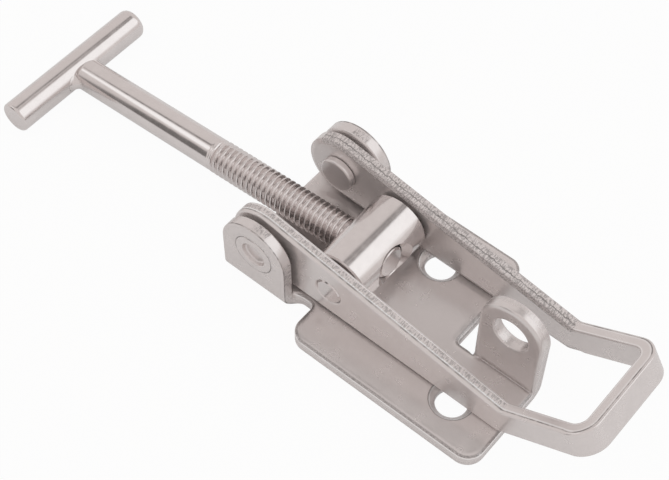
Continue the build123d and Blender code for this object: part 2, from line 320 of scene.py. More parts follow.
@dataclass(frozen=True)
class EdgeProfile:
    """How the sheet's edge runs from its lower to its upper face, as (inset, height) in mm.

    Attributes:
        points: The profile, from the lower face to the upper one.
        wall: The first and last number of the points on the sheared wall.
    """

    points: tuple[Point, ...]
    wall: tuple[int, int]

    @classmethod
    def sheared(
        cls, sheet: float, lower: Point, upper: Point, bevelled: bool = False, support: float = 0.15
    ) -> "EdgeProfile":
        """The edge that a press leaves: broken below, die rolled above.

        Args:
            sheet: The sheet's thickness.
            lower: How far the lower corner's rounding reaches over the face and up the wall.
            upper: How far the upper one reaches over the face and down the wall.
            bevelled: Whether the upper corner is a rough bevel, which belongs to the wall.
            support: The width of the flat ring that ends it on each face.

        Returns:
            The profile.
        """
        steps = 8
        below = [(lower[0] + support, 0.0), *reversed(quarter_round(*lower, 4))]
        middle = [(0.0, sheet / 3), (0.0, 2 * sheet / 3)]
        corner = quarter_round(*upper, steps)
        if bevelled:
            corner = [(upper[0] * step / steps, upper[1] * (1 - step / steps)) for step in range(steps + 1)]
        above = [(inset, sheet - drop) for inset, drop in corner]
        points = (*below, *middle, *above, (upper[0] + support, sheet))
        wall_top = len(below) + len(middle) + (steps - 1 if bevelled else 0)
        return cls(points, (len(below) - 1, wall_top))

    @classmethod
    def countersunk(cls, sheet: float, sink_reach: float, sink_depth: float) -> "EdgeProfile":
        """A hole that widens towards the lower face.

        Args:
            sheet: The sheet's thickness.
            sink_reach: How much wider the countersink is than the hole.
            sink_depth: How deep it is.

        Returns:
            The profile.
        """
        return cls(((sink_reach, 0.0), (0.0, sink_depth), (0.0, sheet)), (3, 3))

    @classmethod
    def screw_sink(cls, sheet: float, depth: float, edge: float = 0.12) -> "EdgeProfile":
        """A hole with a countersink for a screw in its upper face.

        Args:
            sheet: The sheet's thickness.
            depth: The countersink's depth, which is also its reach.
            edge: The size of its broken edges.

        Returns:
            The profile.
        """
        neck, blunt = sheet - depth, 0.3 * edge
        below = [(2 * edge, 0.0), (edge, 0.0), (0.0, edge)]
        wall = [(0.0, neck / 2), (0.0, neck - edge), (blunt, neck)]
        cone = [(share * depth, neck + share * depth) for share in (0.1, 0.4, 0.7, 0.92)]
        rim = [(depth, sheet - blunt), (depth + edge, sheet), (depth + 2 * edge, sheet)]
        return cls((*below, *wall, *cone, *rim), (2, 4))


class Blank:
    """A flat sheet blank that is meshed once and then folded as one piece."""

    def __init__(
        self,
        outline: Outline,
        edges: tuple[EdgeProfile, EdgeProfile],
        holes: Iterable[tuple[Hole, EdgeProfile]],
        share: Callable[[float, float], float],
        torn: Callable[[float, float, float], float],
        line: Callable[[float, float], float],
    ) -> None:
        """Collects the blank's edges.

        Args:
            outline: Its outer edge.
            edges: The two profiles of that edge, which have as many points as each other.
            holes: Each hole with the profile of its own edge.
            share: How much of the second profile there is, by the place on the blank.
            torn: How torn the wall is, by the place on the blank and the height.
            line: The height of the painted shade and highlight lines along the edge, by the place on the
                blank, or 0 for none.
        """
        self.loops: list[tuple[Loop, EdgeProfile, EdgeProfile]] = [(outline, *edges)]
        self.loops += [(hole, edge, edge) for hole, edge in holes]
        self.share = share
        self.torn = torn
        self.line = line

    @staticmethod
    def _inside(places: np.ndarray, ring: np.ndarray) -> np.ndarray:
        """Which places lie inside a closed ring, by counting crossings.

        Args:
            places: An array of points.
            ring: The ring's points in order.

        Returns:
            One boolean for each place.
        """
        after = np.roll(ring, -1, axis=0)
        x, y = places[:, :1], places[:, 1:]
        straddles = (ring[:, 1] > y) != (after[:, 1] > y)
        rise = np.where(after[:, 1] == ring[:, 1], 1e-12, after[:, 1] - ring[:, 1])
        crossing = ring[:, 0] + (y - ring[:, 1]) * (after[:, 0] - ring[:, 0]) / rise
        return (straddles & (x < crossing)).sum(axis=1) % 2 == 1

    def _on_face(self, places: np.ndarray, rings: Sequence[np.ndarray]) -> np.ndarray:
        """Which places lie inside the first ring and outside the others."""
        outer, *holes = (self._inside(places, ring) for ring in rings)
        return outer & ~np.any(holes, axis=0)

    def _fill(
        self, rings: Sequence[list[Point]], seeds: np.ndarray
    ) -> tuple[list[Point], list[tuple[int, ...]]]:
        """Triangulates the face between the outer ring and the holes.

        Args:
            rings: The outer ring first, then each hole's.
            seeds: Places inside the face that should be vertices.

        Returns:
            The seeds that were kept, and triangles over the rings' points followed by those.
        """
        arrays = [np.array(ring) for ring in rings]
        border = np.concatenate(arrays)
        clear = np.array([np.hypot(*(border - seed).T).min() for seed in seeds]) > SEED_CLEARANCE
        kept = [tuple(seed) for seed in seeds[self._on_face(seeds, arrays) & clear]]
        points = [tuple(point) for point in border] + kept
        edges, first = [], 0
        for ring in rings:
            edges += [(first + i, first + (i + 1) % len(ring)) for i in range(len(ring))]
            first += len(ring)
        made = delaunay_2d_cdt([Vector(point) for point in points], edges, [], 0, 1e-5)
        sources = [origin[0] for origin in made[3]]
        triangles = np.array([[sources[corner] for corner in face] for face in made[2]])
        middles = np.array(points)[triangles].mean(axis=1)
        solid = triangles[self._on_face(middles, arrays)]
        return kept, [tuple(int(corner) for corner in face) for face in solid]

    def mesh(self, name: str, place: Place, seeds: np.ndarray) -> Mesh:
        """Meshes the blank and folds it.

        Args:
            name: The mesh's name.
            place: The fold: takes a place on the blank and a height, in mm, and gives the folded place in mm.
            seeds: Places on the blank that should be vertices of both faces.

        Returns:
            The folded mesh in metres, with the attributes blank, torn, roll, height and line; roll and line
            place the painted shade and highlight lines.
        """
        flat: list[tuple[float, float, float]] = []
        marks: dict[str, list[float]] = {label: [] for label in ("torn", "roll", "line")}
        faces: list[tuple[int, ...]] = []
        ends: tuple[list[range], list[range]] = ([], [])
        for loop, edge, other in self.loops:
            rows = []
            for number, ((inset, height), (inset_2, height_2)) in enumerate(zip(edge.points, other.points)):
                ring, ring_2 = loop.ring(inset), loop.ring(inset_2)
                rows.append(range(len(flat), len(flat) + len(ring)))
                walls = [float(one.wall[0] <= number <= one.wall[1]) for one in (edge, other)]
                rolled = edge.wall[1] <= number < len(edge.points) - 2
                for (x, y), (x_2, y_2) in zip(ring, ring_2):
                    share = self.share(x, y)
                    pairs = zip((x, y, height), (x_2, y_2, height_2))
                    spot = tuple(first + (second - first) * share for first, second in pairs)
                    flat.append(spot)
                    marks["torn"].append(self.torn(*spot) * (walls[0] + (walls[1] - walls[0]) * share))
                    # Where the finish paints shade and highlight lines: the rolled edge, and the height of
                    # the edge lines.
                    marks["roll"].append((1 - share) * rolled)
                    marks["line"].append(self.line(x, y))
            for low, high in zip(rows, rows[1:]):
                faces += band(low, high)
            ends[0].append(rows[0])
            ends[1].append(rows[-1])
        for rows, upper in zip(ends, (False, True)):
            rings = [[flat[i][:2] for i in row] for row in rows]
            height = flat[rows[0][0]][2]
            kept, triangles = self._fill(rings, seeds)
            numbers = [i for row in rows for i in row] + list(range(len(flat), len(flat) + len(kept)))
            flat += [(x, y, height) for x, y in kept]
            for values in marks.values():
                values += [0.0] * len(kept)
            for triangle in triangles:
                face = tuple(numbers[corner] for corner in triangle)
                faces.append(face if upper else face[::-1])
        marks["height"] = [point[2] for point in flat]
        mesh = closed_mesh(name, (place(*point) for point in flat), faces)
        for label, values in marks.items():
            mesh.attributes.new(label, "FLOAT", "POINT").data.foreach_set("value", values)
        blank = mesh.attributes.new("blank", "FLOAT_VECTOR", "POINT")
        blank.data.foreach_set("vector", [value * MM for point in flat for value in point])
        return mesh


def turned_mesh(
    name: str, profile: Sequence[Point], centre: Vector, axis: Vector, steps: int = 96
) -> Mesh:
    """Turns a profile about an axis.

    Args:
        name: The mesh's name.
        profile: Pairs of radius and distance along the axis, in mm, from one end to the other.
        centre: A point on the axis, in mm.
        axis: The axis.
        steps: How many flats go round.

    Returns:
        The mesh, in metres.
    """
    axis = axis.normalized()
    across = axis.orthogonal().normalized()
    beside = axis.cross(across)
    turns = [2 * math.pi * step / steps for step in range(steps)]
    spokes = [across * math.cos(turn) + beside * math.sin(turn) for turn in turns]
    points: list[Vector] = []
    rows: list[range] = []
    for radius, along in profile:
        row = [centre + axis * along + spoke * radius for spoke in (spokes if radius else spokes[:1])]
        rows.append(range(len(points), len(points) + len(row)))
        points += row
    faces = []
    for low, high in zip(rows, rows[1:]):
        for i in range(steps):
            j = i + 1
            face = (low[i % len(low)], low[j % len(low)], high[j % len(high)], high[i % len(high)])
            faces.append(tuple(dict.fromkeys(face)))
    return closed_mesh(name, points, faces)


# ---- shader graphs ---------------------------------------------------------------------------------


Value = float | Colour | Socket


class Graph:
    """Adds nodes to a tree and joins their sockets."""

    def __init__(self, tree: bpy.types.NodeTree) -> None:
        """Takes the tree that the nodes go into."""
        self.tree = tree

    @classmethod
    def cleared(cls, owner: Material | bpy.types.World) -> "Graph":
        """The graph of a material or a world, without the nodes that it starts with.

        Args:
            owner: The material or the world.

        Returns:
            Its graph.
        """
        owner.use_nodes = True
        owner.node_tree.nodes.clear()
        return cls(owner.node_tree)

    def feed(self, socket: Socket, value: Value) -> None:
        """Joins a node's output to a socket, or gives it a constant.

        Args:
            socket: The input.
            value: What it takes.
        """
        if isinstance(value, Socket):
            self.tree.links.new(value, socket)
        elif isinstance(value, tuple) and socket.type == "RGBA":
            socket.default_value = (*value, 1.0)
        else:
            socket.default_value = value

    def add(
        self, kind: str, inputs: dict[int | str, Value] | None = None, **settings: object
    ) -> Node:
        """Adds a node.

        Args:
            kind: The node's type.
            inputs: What each input takes, a constant or another node's output.
            settings: The node's own settings.

        Returns:
            The node.
        """
        node = self.tree.nodes.new(kind)
        for label, value in settings.items():
            setattr(node, label, value)
        for key, value in (inputs or {}).items():
            self.feed(node.inputs[key], value)
        return node

    def math(self, operation: str, *values: Value) -> Socket:
        """The result of a Math node."""
        return self.add("ShaderNodeMath", dict(enumerate(values)), operation=operation).outputs[0]

    def times(self, first: Value, second: Value) -> Socket:
        """The product of two values."""
        return self.math("MULTIPLY", first, second)

    def dot(self, vector: Value, axis: Iterable[float]) -> Socket:
        """How far a vector points along an axis."""
        inputs = {0: vector, 1: tuple(axis)}
        return self.add("ShaderNodeVectorMath", inputs, operation="DOT_PRODUCT").outputs["Value"]

    def ramp(
        self, value: Value, low: Value, high: Value, start: Value = 0.0, end: Value = 1.0
    ) -> Socket:
        """Eases from start to end as a value goes from low to high."""
        sockets = {"Value": value, "From Min": low, "From Max": high, "To Min": start, "To Max": end}
        return self.add("ShaderNodeMapRange", sockets, interpolation_type="SMOOTHSTEP").outputs["Result"]

    def between(self, value: Value, rise: Point, fall: Point) -> Socket:
        """1 where a value lies between a rise and a fall, which are each eased over two limits."""
        return self.times(self.ramp(value, *rise), self.ramp(value, *fall))

    def mix(self, share: Value, first: Value, second: Value) -> Socket:
        """A colour between two others.

        Args:
            share: How much of the second colour there is.
            first: The first colour.
            second: The second colour.

        Returns:
            The mixed colour.
        """
        node = self.add("ShaderNodeMix", data_type="RGBA")
        for key, value in (("Factor_Float", share), ("A_Color", first), ("B_Color", second)):
            self.feed(next(entry for entry in node.inputs if entry.identifier == key), value)
        return next(entry for entry in node.outputs if entry.identifier == "Result_Color")

    def noise(
        self, vector: Value, scale: Value, detail: float = 2.0, roughness: float = 0.5
    ) -> Socket:
        """The value of a Noise Texture."""
        sockets = {"Vector": vector, "Scale": scale, "Detail": detail, "Roughness": roughness}
        return self.add("ShaderNodeTexNoise", sockets).outputs["Fac"]

    def attribute(self, name: str, output: str = "Fac") -> Socket:
        """A mesh attribute's value."""
        return self.add("ShaderNodeAttribute", attribute_name=name).outputs[output]


class Effect:
    """A shader node group that more than one finish uses."""

    def __init__(self, name: str, inputs: dict[str, float | None], outputs: Sequence[str]) -> None:
        """Makes the group and its sockets.

        Args:
            name: The group's name.
            inputs: Each input's default, or None for a vector.
            outputs: The names of the outputs, all of them numbers.
        """
        self.tree = bpy.data.node_groups.new(name, "ShaderNodeTree")
        for label, default in inputs.items():
            kind = "NodeSocketVector" if default is None else "NodeSocketFloat"
            socket = self.tree.interface.new_socket(label, in_out="INPUT", socket_type=kind)
            if default is not None:
                socket.default_value = default
        for label in outputs:
            self.tree.interface.new_socket(label, in_out="OUTPUT", socket_type="NodeSocketFloat")
        self.graph = Graph(self.tree)
        self.given = self.graph.add("NodeGroupInput").outputs
        self.results = self.graph.add("NodeGroupOutput")

    def give(self, label: str, value: Socket) -> None:
        """Joins a result to one of the group's outputs."""
        self.tree.links.new(value, self.results.inputs[label])

    def place(self, graph: Graph, inputs: dict[int | str, Value]) -> bpy.types.NodeOutputs:
        """Places the group in a material and gives its outputs there."""
        return graph.add("ShaderNodeGroup", inputs, node_tree=self.tree).outputs


class Effects:
    """The effects that the finishes share, each built once."""

    def __init__(self) -> None:
        """Builds every effect."""
        self.painted_lines = self._painted_lines()
        self.satin = self._satin()
        self.sheared = self._sheared()
        self.streaks = self._streaks()

    @staticmethod
    def _satin() -> Effect:
        """Tumbled satin: soft clouds and a fine even grain.

        Returns:
            The effect.
        """
        inputs = {"Vector": None, "Cloud Size": 3.0, "Grain Size": 0.2}
        effect = Effect("tumbled_satin", inputs, ["Cloud", "Grain"])
        graph, given = effect.graph, effect.given
        cloud_scale = graph.math("DIVIDE", 1 / MM, given["Cloud Size"])
        grain_scale = graph.math("DIVIDE", 1 / MM, given["Grain Size"])
        effect.give("Cloud", graph.ramp(graph.noise(given["Vector"], cloud_scale, 4.0, 0.6), 0.3, 0.7))
        effect.give("Grain", graph.noise(given["Vector"], grain_scale, 3.0, 0.65))
        return effect

    @staticmethod
    def _sheared() -> Effect:
        """Torn wall of a cut edge: grains drawn out across the sheet, and a crack where it is torn most.

        Returns:
            The effect.
        """
        inputs = {"Vector": None, "Torn": 0.0, "Height": 0.0, "Grain Size": 0.32, "Grain Length": 0.9}
        effect = Effect("sheared_edge", inputs, ["Torn", "Pits", "Relief"])
        graph, given = effect.graph, effect.given
        size = graph.math("DIVIDE", 1 / MM, given["Grain Size"])
        length = graph.math("DIVIDE", 1 / MM, given["Grain Length"])
        scale = graph.add("ShaderNodeCombineXYZ", {"X": size, "Y": size, "Z": length}).outputs["Vector"]
        drawn = graph.add("ShaderNodeVectorMath", {0: given["Vector"], 1: scale}, operation="MULTIPLY")
        grain = graph.noise(drawn.outputs["Vector"], 1.0, 3.0, 0.7)
        torn = graph.times(graph.ramp(given["Torn"], 0.1, 0.7), graph.ramp(grain, 0.2, 0.35, 0.6, 1.0))
        darkened = graph.times(torn, graph.ramp(grain, 0.54, 0.43, 0.0, 0.65))
        lowest, wander, step, half_width = 0.75, 1.6, 1.4 * MM, (0.16, 0.05)
        course = graph.math("MULTIPLY_ADD", graph.noise(given["Vector"], 1 / step, 4.0, 0.7), wander, lowest)
        away = graph.math("ABSOLUTE", graph.math("SUBTRACT", given["Height"], course))
        crack = graph.times(graph.ramp(away, *half_width), graph.ramp(given["Torn"], 1.2, 1.8))
        effect.give("Torn", torn)
        effect.give("Pits", graph.math("MAXIMUM", darkened, crack))
        effect.give("Relief", graph.math("SUBTRACT", graph.times(torn, grain), crack))
        return effect

    @staticmethod
    def _painted_lines() -> Effect:
        """Painted shade and highlight along a cut edge: a fine dark line, and a light one above it where it
        stands high enough.

        Returns:
            The effect.
        """
        inputs = {"Vector": None, "Height": 0.0, "Line": 0.0, "Width": 0.11}
        effect = Effect("painted_edge_lines", inputs, ["Dark", "Bright"])
        graph, given = effect.graph, effect.given
        soft, rise, broad, step = 1.5, 2.7, 2.1, 2.2 * MM
        above = graph.math("SUBTRACT", given["Height"], given["Line"])
        limits = (graph.times(given["Width"], soft), given["Width"])
        # Painted shade: the dark line, at the edge line's height.
        dark = graph.times(
            graph.ramp(graph.math("ABSOLUTE", above), *limits), graph.ramp(given["Line"], 0.1, 0.2)
        )
        away = graph.math("ABSOLUTE", graph.math("MULTIPLY_ADD", given["Width"], -rise, above))
        limits = (graph.times(given["Width"], broad), given["Width"])
        # Painted highlight: the light line above the dark one.
        painted_highlight = graph.times(graph.ramp(away, *limits), graph.ramp(given["Line"], 0.5, 0.6))
        broken = graph.ramp(graph.noise(given["Vector"], 1 / step, 3.0, 0.6), 0.4, 0.6, 0.35, 1.0)
        # Dark gives the painted shade line, Bright the painted highlight line.
        effect.give("Dark", graph.times(dark, broken))
        effect.give("Bright", painted_highlight)
        return effect

    @staticmethod
    def _streaks() -> Effect:
        """Fine lines along one direction, or rings about an axis.

        Returns:
            The effect.
        """
        effect = Effect("fine_lines", {"Across": 0.0, "Along": 0.0, "Width": 0.12, "Length": 12.0}, ["Lines"])
        graph, given = effect.graph, effect.given
        across = graph.math("DIVIDE", given["Across"], given["Width"])
        along = graph.math("DIVIDE", given["Along"], given["Length"])
        vector = graph.add("ShaderNodeCombineXYZ", {"X": across, "Y": along}).outputs["Vector"]
        effect.give("Lines", graph.noise(vector, 1.0, 3.0, 0.6))
        return effect


# ---- finishes --------------------------------------------------------------------------------------


@dataclass(frozen=True)
class Finish(ABC):
    """A metal finish with its colours and gloss."""

    name: str
    light: Colour
    dark: Colour
    roughness: float
    metallic: float

    @abstractmethod
    def dress(self, graph: Graph, effects: Effects, shader: Node) -> None:
        """Feeds the shader's colour, roughness and normal."""

    def material(self, effects: Effects) -> Material:
        """Builds the finish.

        Args:
            effects: The shared effects.

        Returns:
            The material.
        """
        made = bpy.data.materials.new(self.name)
        graph = Graph.cleared(made)
        inputs = {"Metallic": self.metallic, "Roughness": self.roughness}
        shader = graph.add("ShaderNodeBsdfPrincipled", inputs)
        graph.add("ShaderNodeOutputMaterial", {"Surface": shader.outputs["BSDF"]})
        self.dress(graph, effects, shader)
        return made

    def face(self, graph: Graph, fine: Value, cloud: Value) -> Socket:
        """The metal's colour, half by a fine pattern and half by soft clouds."""
        tone = graph.math("MULTIPLY_ADD", fine, 0.5, graph.times(cloud, 0.5))
        return graph.mix(tone, self.dark, self.light)

    def darker(self, share: float) -> Colour:
        """A share of the dark colour."""
        return tuple(channel * share for channel in self.dark)

    @staticmethod
    def bump(
        graph: Graph, shader: Node, height: Value, depth: float, below: Value | None = None
    ) -> Socket:
        """Lays a relief on the surface.

        Args:
            graph: The material's graph.
            shader: The shader whose normal it feeds.
            height: The relief, from 0 to 1.
            depth: How deep it is, in mm.
            below: The normal of a coarser relief that it lies on.

        Returns:
            The relief's normal.
        """
        sockets: dict[int | str, Value] = {"Height": height, "Distance": depth * MM, "Strength": 1.0}
        if below is not None:
            sockets["Normal"] = below
        normal = graph.add("ShaderNodeBump", sockets).outputs["Normal"]
        graph.feed(shader.inputs["Normal"], normal)
        return normal


@dataclass(frozen=True)
class SheetFinish(Finish):
    """Satin rolled sheet with sheared edges.

    Attributes:
        grain_depth: The depth of the faces' grain, in mm.
        torn_depth: The depth of the torn walls' grain, in mm.
        pit_and_painted_line_tone: How dark the torn grain's pitting and the painted shade lines are, as a
            share of the dark colour.
        painted_roll_shade_tone: The same for the painted shade line on the rolled edge.
        painted_highlight_tone: How light the painted highlight lines are.
        painted_roll_shade: The heights in the sheet over which the painted shade line on the rolled edge
            rises and falls, in mm.
        painted_roll_highlight: The same for the painted highlight line below it.
        cloud_gloss: How much rougher the clouds are than the finish.
        torn_gloss: The same for the torn walls.
    """

    grain_depth: float = 0.006
    torn_depth: float = 0.07
    pit_and_painted_line_tone: float = 0.4
    painted_roll_shade_tone: float = 0.38
    painted_highlight_tone: float = 1.0
    painted_roll_shade: tuple[Point, Point] = ((2.7, 2.75), (2.95, 2.88))
    painted_roll_highlight: tuple[Point, Point] = ((2.46, 2.54), (2.74, 2.66))
    cloud_gloss: float = 0.08
    torn_gloss: float = 0.3

    def dress(self, graph: Graph, effects: Effects, shader: Node) -> None:
        """Feeds clouds and grain on the faces, torn grain on the walls, and painted shade and highlight lines
        on the rolled edges.

        Args:
            graph: The material's graph.
            effects: The shared effects.
            shader: The shader that it feeds.
        """
        blank = graph.attribute("blank", "Vector")
        torn, height, roll, line = map(graph.attribute, ("torn", "height", "roll", "line"))
        satin = effects.satin.place(graph, {"Vector": blank, "Cloud Size": 4.0, "Grain Size": 0.16})
        sheared = effects.sheared.place(graph, {"Vector": blank, "Torn": torn, "Height": height})
        painted_lines = effects.painted_lines.place(graph, {"Vector": blank, "Height": height, "Line": line})
        broken = graph.ramp(satin["Grain"], 0.58, 0.44, 0.25, 1.0)
        # Painted shade: a dark line in the hollow of the rolled edge, broken up by the grain.
        painted_roll_shade = graph.times(roll, graph.times(graph.between(height, *self.painted_roll_shade), broken))
        # Painted highlight: a light line lower on the rolled edge.
        painted_roll_highlight = graph.times(roll, graph.between(height, *self.painted_roll_highlight))
        # The torn grain's dark flecks and crack, together with the painted shade line of the edge.
        darkened = graph.math("MAXIMUM", sheared["Pits"], painted_lines["Dark"])
        # The tone of every painted highlight line.
        painted_highlight = (self.painted_highlight_tone,) * 3
        face = self.face(graph, satin["Grain"], satin["Cloud"])
        # Lays the painted lines and the torn grain's dark flecks over the metal's own tone.
        for share, tone in (
            (painted_roll_shade, self.darker(self.painted_roll_shade_tone)),
            (painted_roll_highlight, painted_highlight),
            (painted_lines["Bright"], painted_highlight),
            (darkened, self.darker(self.pit_and_painted_line_tone)),
        ):
            face = graph.mix(share, face, tone)
        graph.feed(shader.inputs["Base Color"], face)
        gloss = graph.math("MULTIPLY_ADD", satin["Cloud"], self.cloud_gloss, self.roughness)
        gloss = graph.math("MULTIPLY_ADD", sheared["Torn"], self.torn_gloss, gloss)
        graph.feed(shader.inputs["Roughness"], gloss)
        fine = self.bump(graph, shader, satin["Grain"], self.grain_depth)
        self.bump(graph, shader, sheared["Relief"], self.torn_depth, fine)


@dataclass(frozen=True)
class MachinedFinish(Finish):
    """Steel with the fine lines of a tool and soft clouds. Sizes in mm."""

    axis: tuple[float, ...]
    line_depth: float = 0.002
    cloud_size: float = 3.0

    @abstractmethod
    def lines(self, graph: Graph, effects: Effects, place: Value) -> Socket:
        """The fine lines, by the place on the piece."""

    def dress(self, graph: Graph, effects: Effects, shader: Node) -> None:
        """Feeds the lines and the clouds.

        Args:
            graph: The material's graph.
            effects: The shared effects.
            shader: The shader that it feeds.
        """
        place = graph.add("ShaderNodeTexCoord").outputs["Object"]
        lines = self.lines(graph, effects, place)
        sockets = {"Vector": place, "Cloud Size": self.cloud_size, "Grain Size": 0.2}
        cloud = effects.satin.place(graph, sockets)["Cloud"]
        graph.feed(shader.inputs["Base Color"], self.face(graph, lines, cloud))
        graph.feed(shader.inputs["Roughness"], graph.math("MULTIPLY_ADD", cloud, 0.06, self.roughness))
        self.bump(graph, shader, lines, self.line_depth)


@dataclass(frozen=True)
class TurnedFinish(MachinedFinish):
    """Turned steel with fine rings about its axis, which runs along Y."""

    line_depth: float = 0.003
    cloud_size: float = 2.5

    def lines(self, graph: Graph, effects: Effects, place: Value) -> Socket:
        """Fine rings about the axis, by the place on the piece.

        Args:
            graph: The material's graph.
            effects: The shared effects.
            place: The place on the piece.

        Returns:
            The lines' value.
        """
        split = graph.add("ShaderNodeSeparateXYZ", {"Vector": place}).outputs
        x, z = (graph.math("SUBTRACT", split[label], at * MM) for label, at in zip("XZ", self.axis))
        radius = graph.math("SQRT", graph.math("ADD", graph.times(x, x), graph.times(z, z)))
        across = graph.math("DIVIDE", graph.math("ADD", radius, split["Y"]), MM)
        return effects.streaks.place(graph, {"Across": across, "Along": graph.math("DIVIDE", x, MM)})["Lines"]


@dataclass(frozen=True)
class DrawnFinish(MachinedFinish):
    """Bright drawn bar, with fine lines along it."""

    radius: float = 4.0
    line_length: float = 20.0

    def lines(self, graph: Graph, effects: Effects, place: Value) -> Socket:
        """Fine lines along the bar, by the place on the piece.

        Args:
            graph: The material's graph.
            effects: The shared effects.
            place: The place on the piece.

        Returns:
            The lines' value.
        """
        way = Vector(self.axis).normalized()
        side, up = way.orthogonal().normalized(), way.cross(way.orthogonal()).normalized()
        beside, above, along = (graph.dot(place, one) for one in (side, up, way))
        across = graph.times(graph.math("ARCTAN2", beside, above), self.radius)
        sockets = {"Across": across, "Along": graph.math("DIVIDE", along, MM), "Length": self.line_length}
        return effects.streaks.place(graph, sockets)["Lines"]


# ---- sub-assemblies --------------------------------------------------------------------------------


@dataclass(frozen=True)
class Dressed:
    """A finished piece and what it stands for.

    Attributes:
        piece: The object.
        body: The body that it rides on.
        node: The node that it replaces.
        slot: The record's material slot for its finish; it is not used.
    """

    piece: bpy.types.Object
    body: str
    node: str
    slot: Slot

    def hand_over(self) -> None:
        """Puts the piece on its body and hides the node that it replaces."""
        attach(self.piece, self.body)
        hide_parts(self.node)


class SubAssembly(ABC):
    """A group of pieces that is built and dressed together."""

    @abstractmethod
    def build(self, effects: Effects) -> list[Dressed]:
        """Builds and dresses the pieces."""


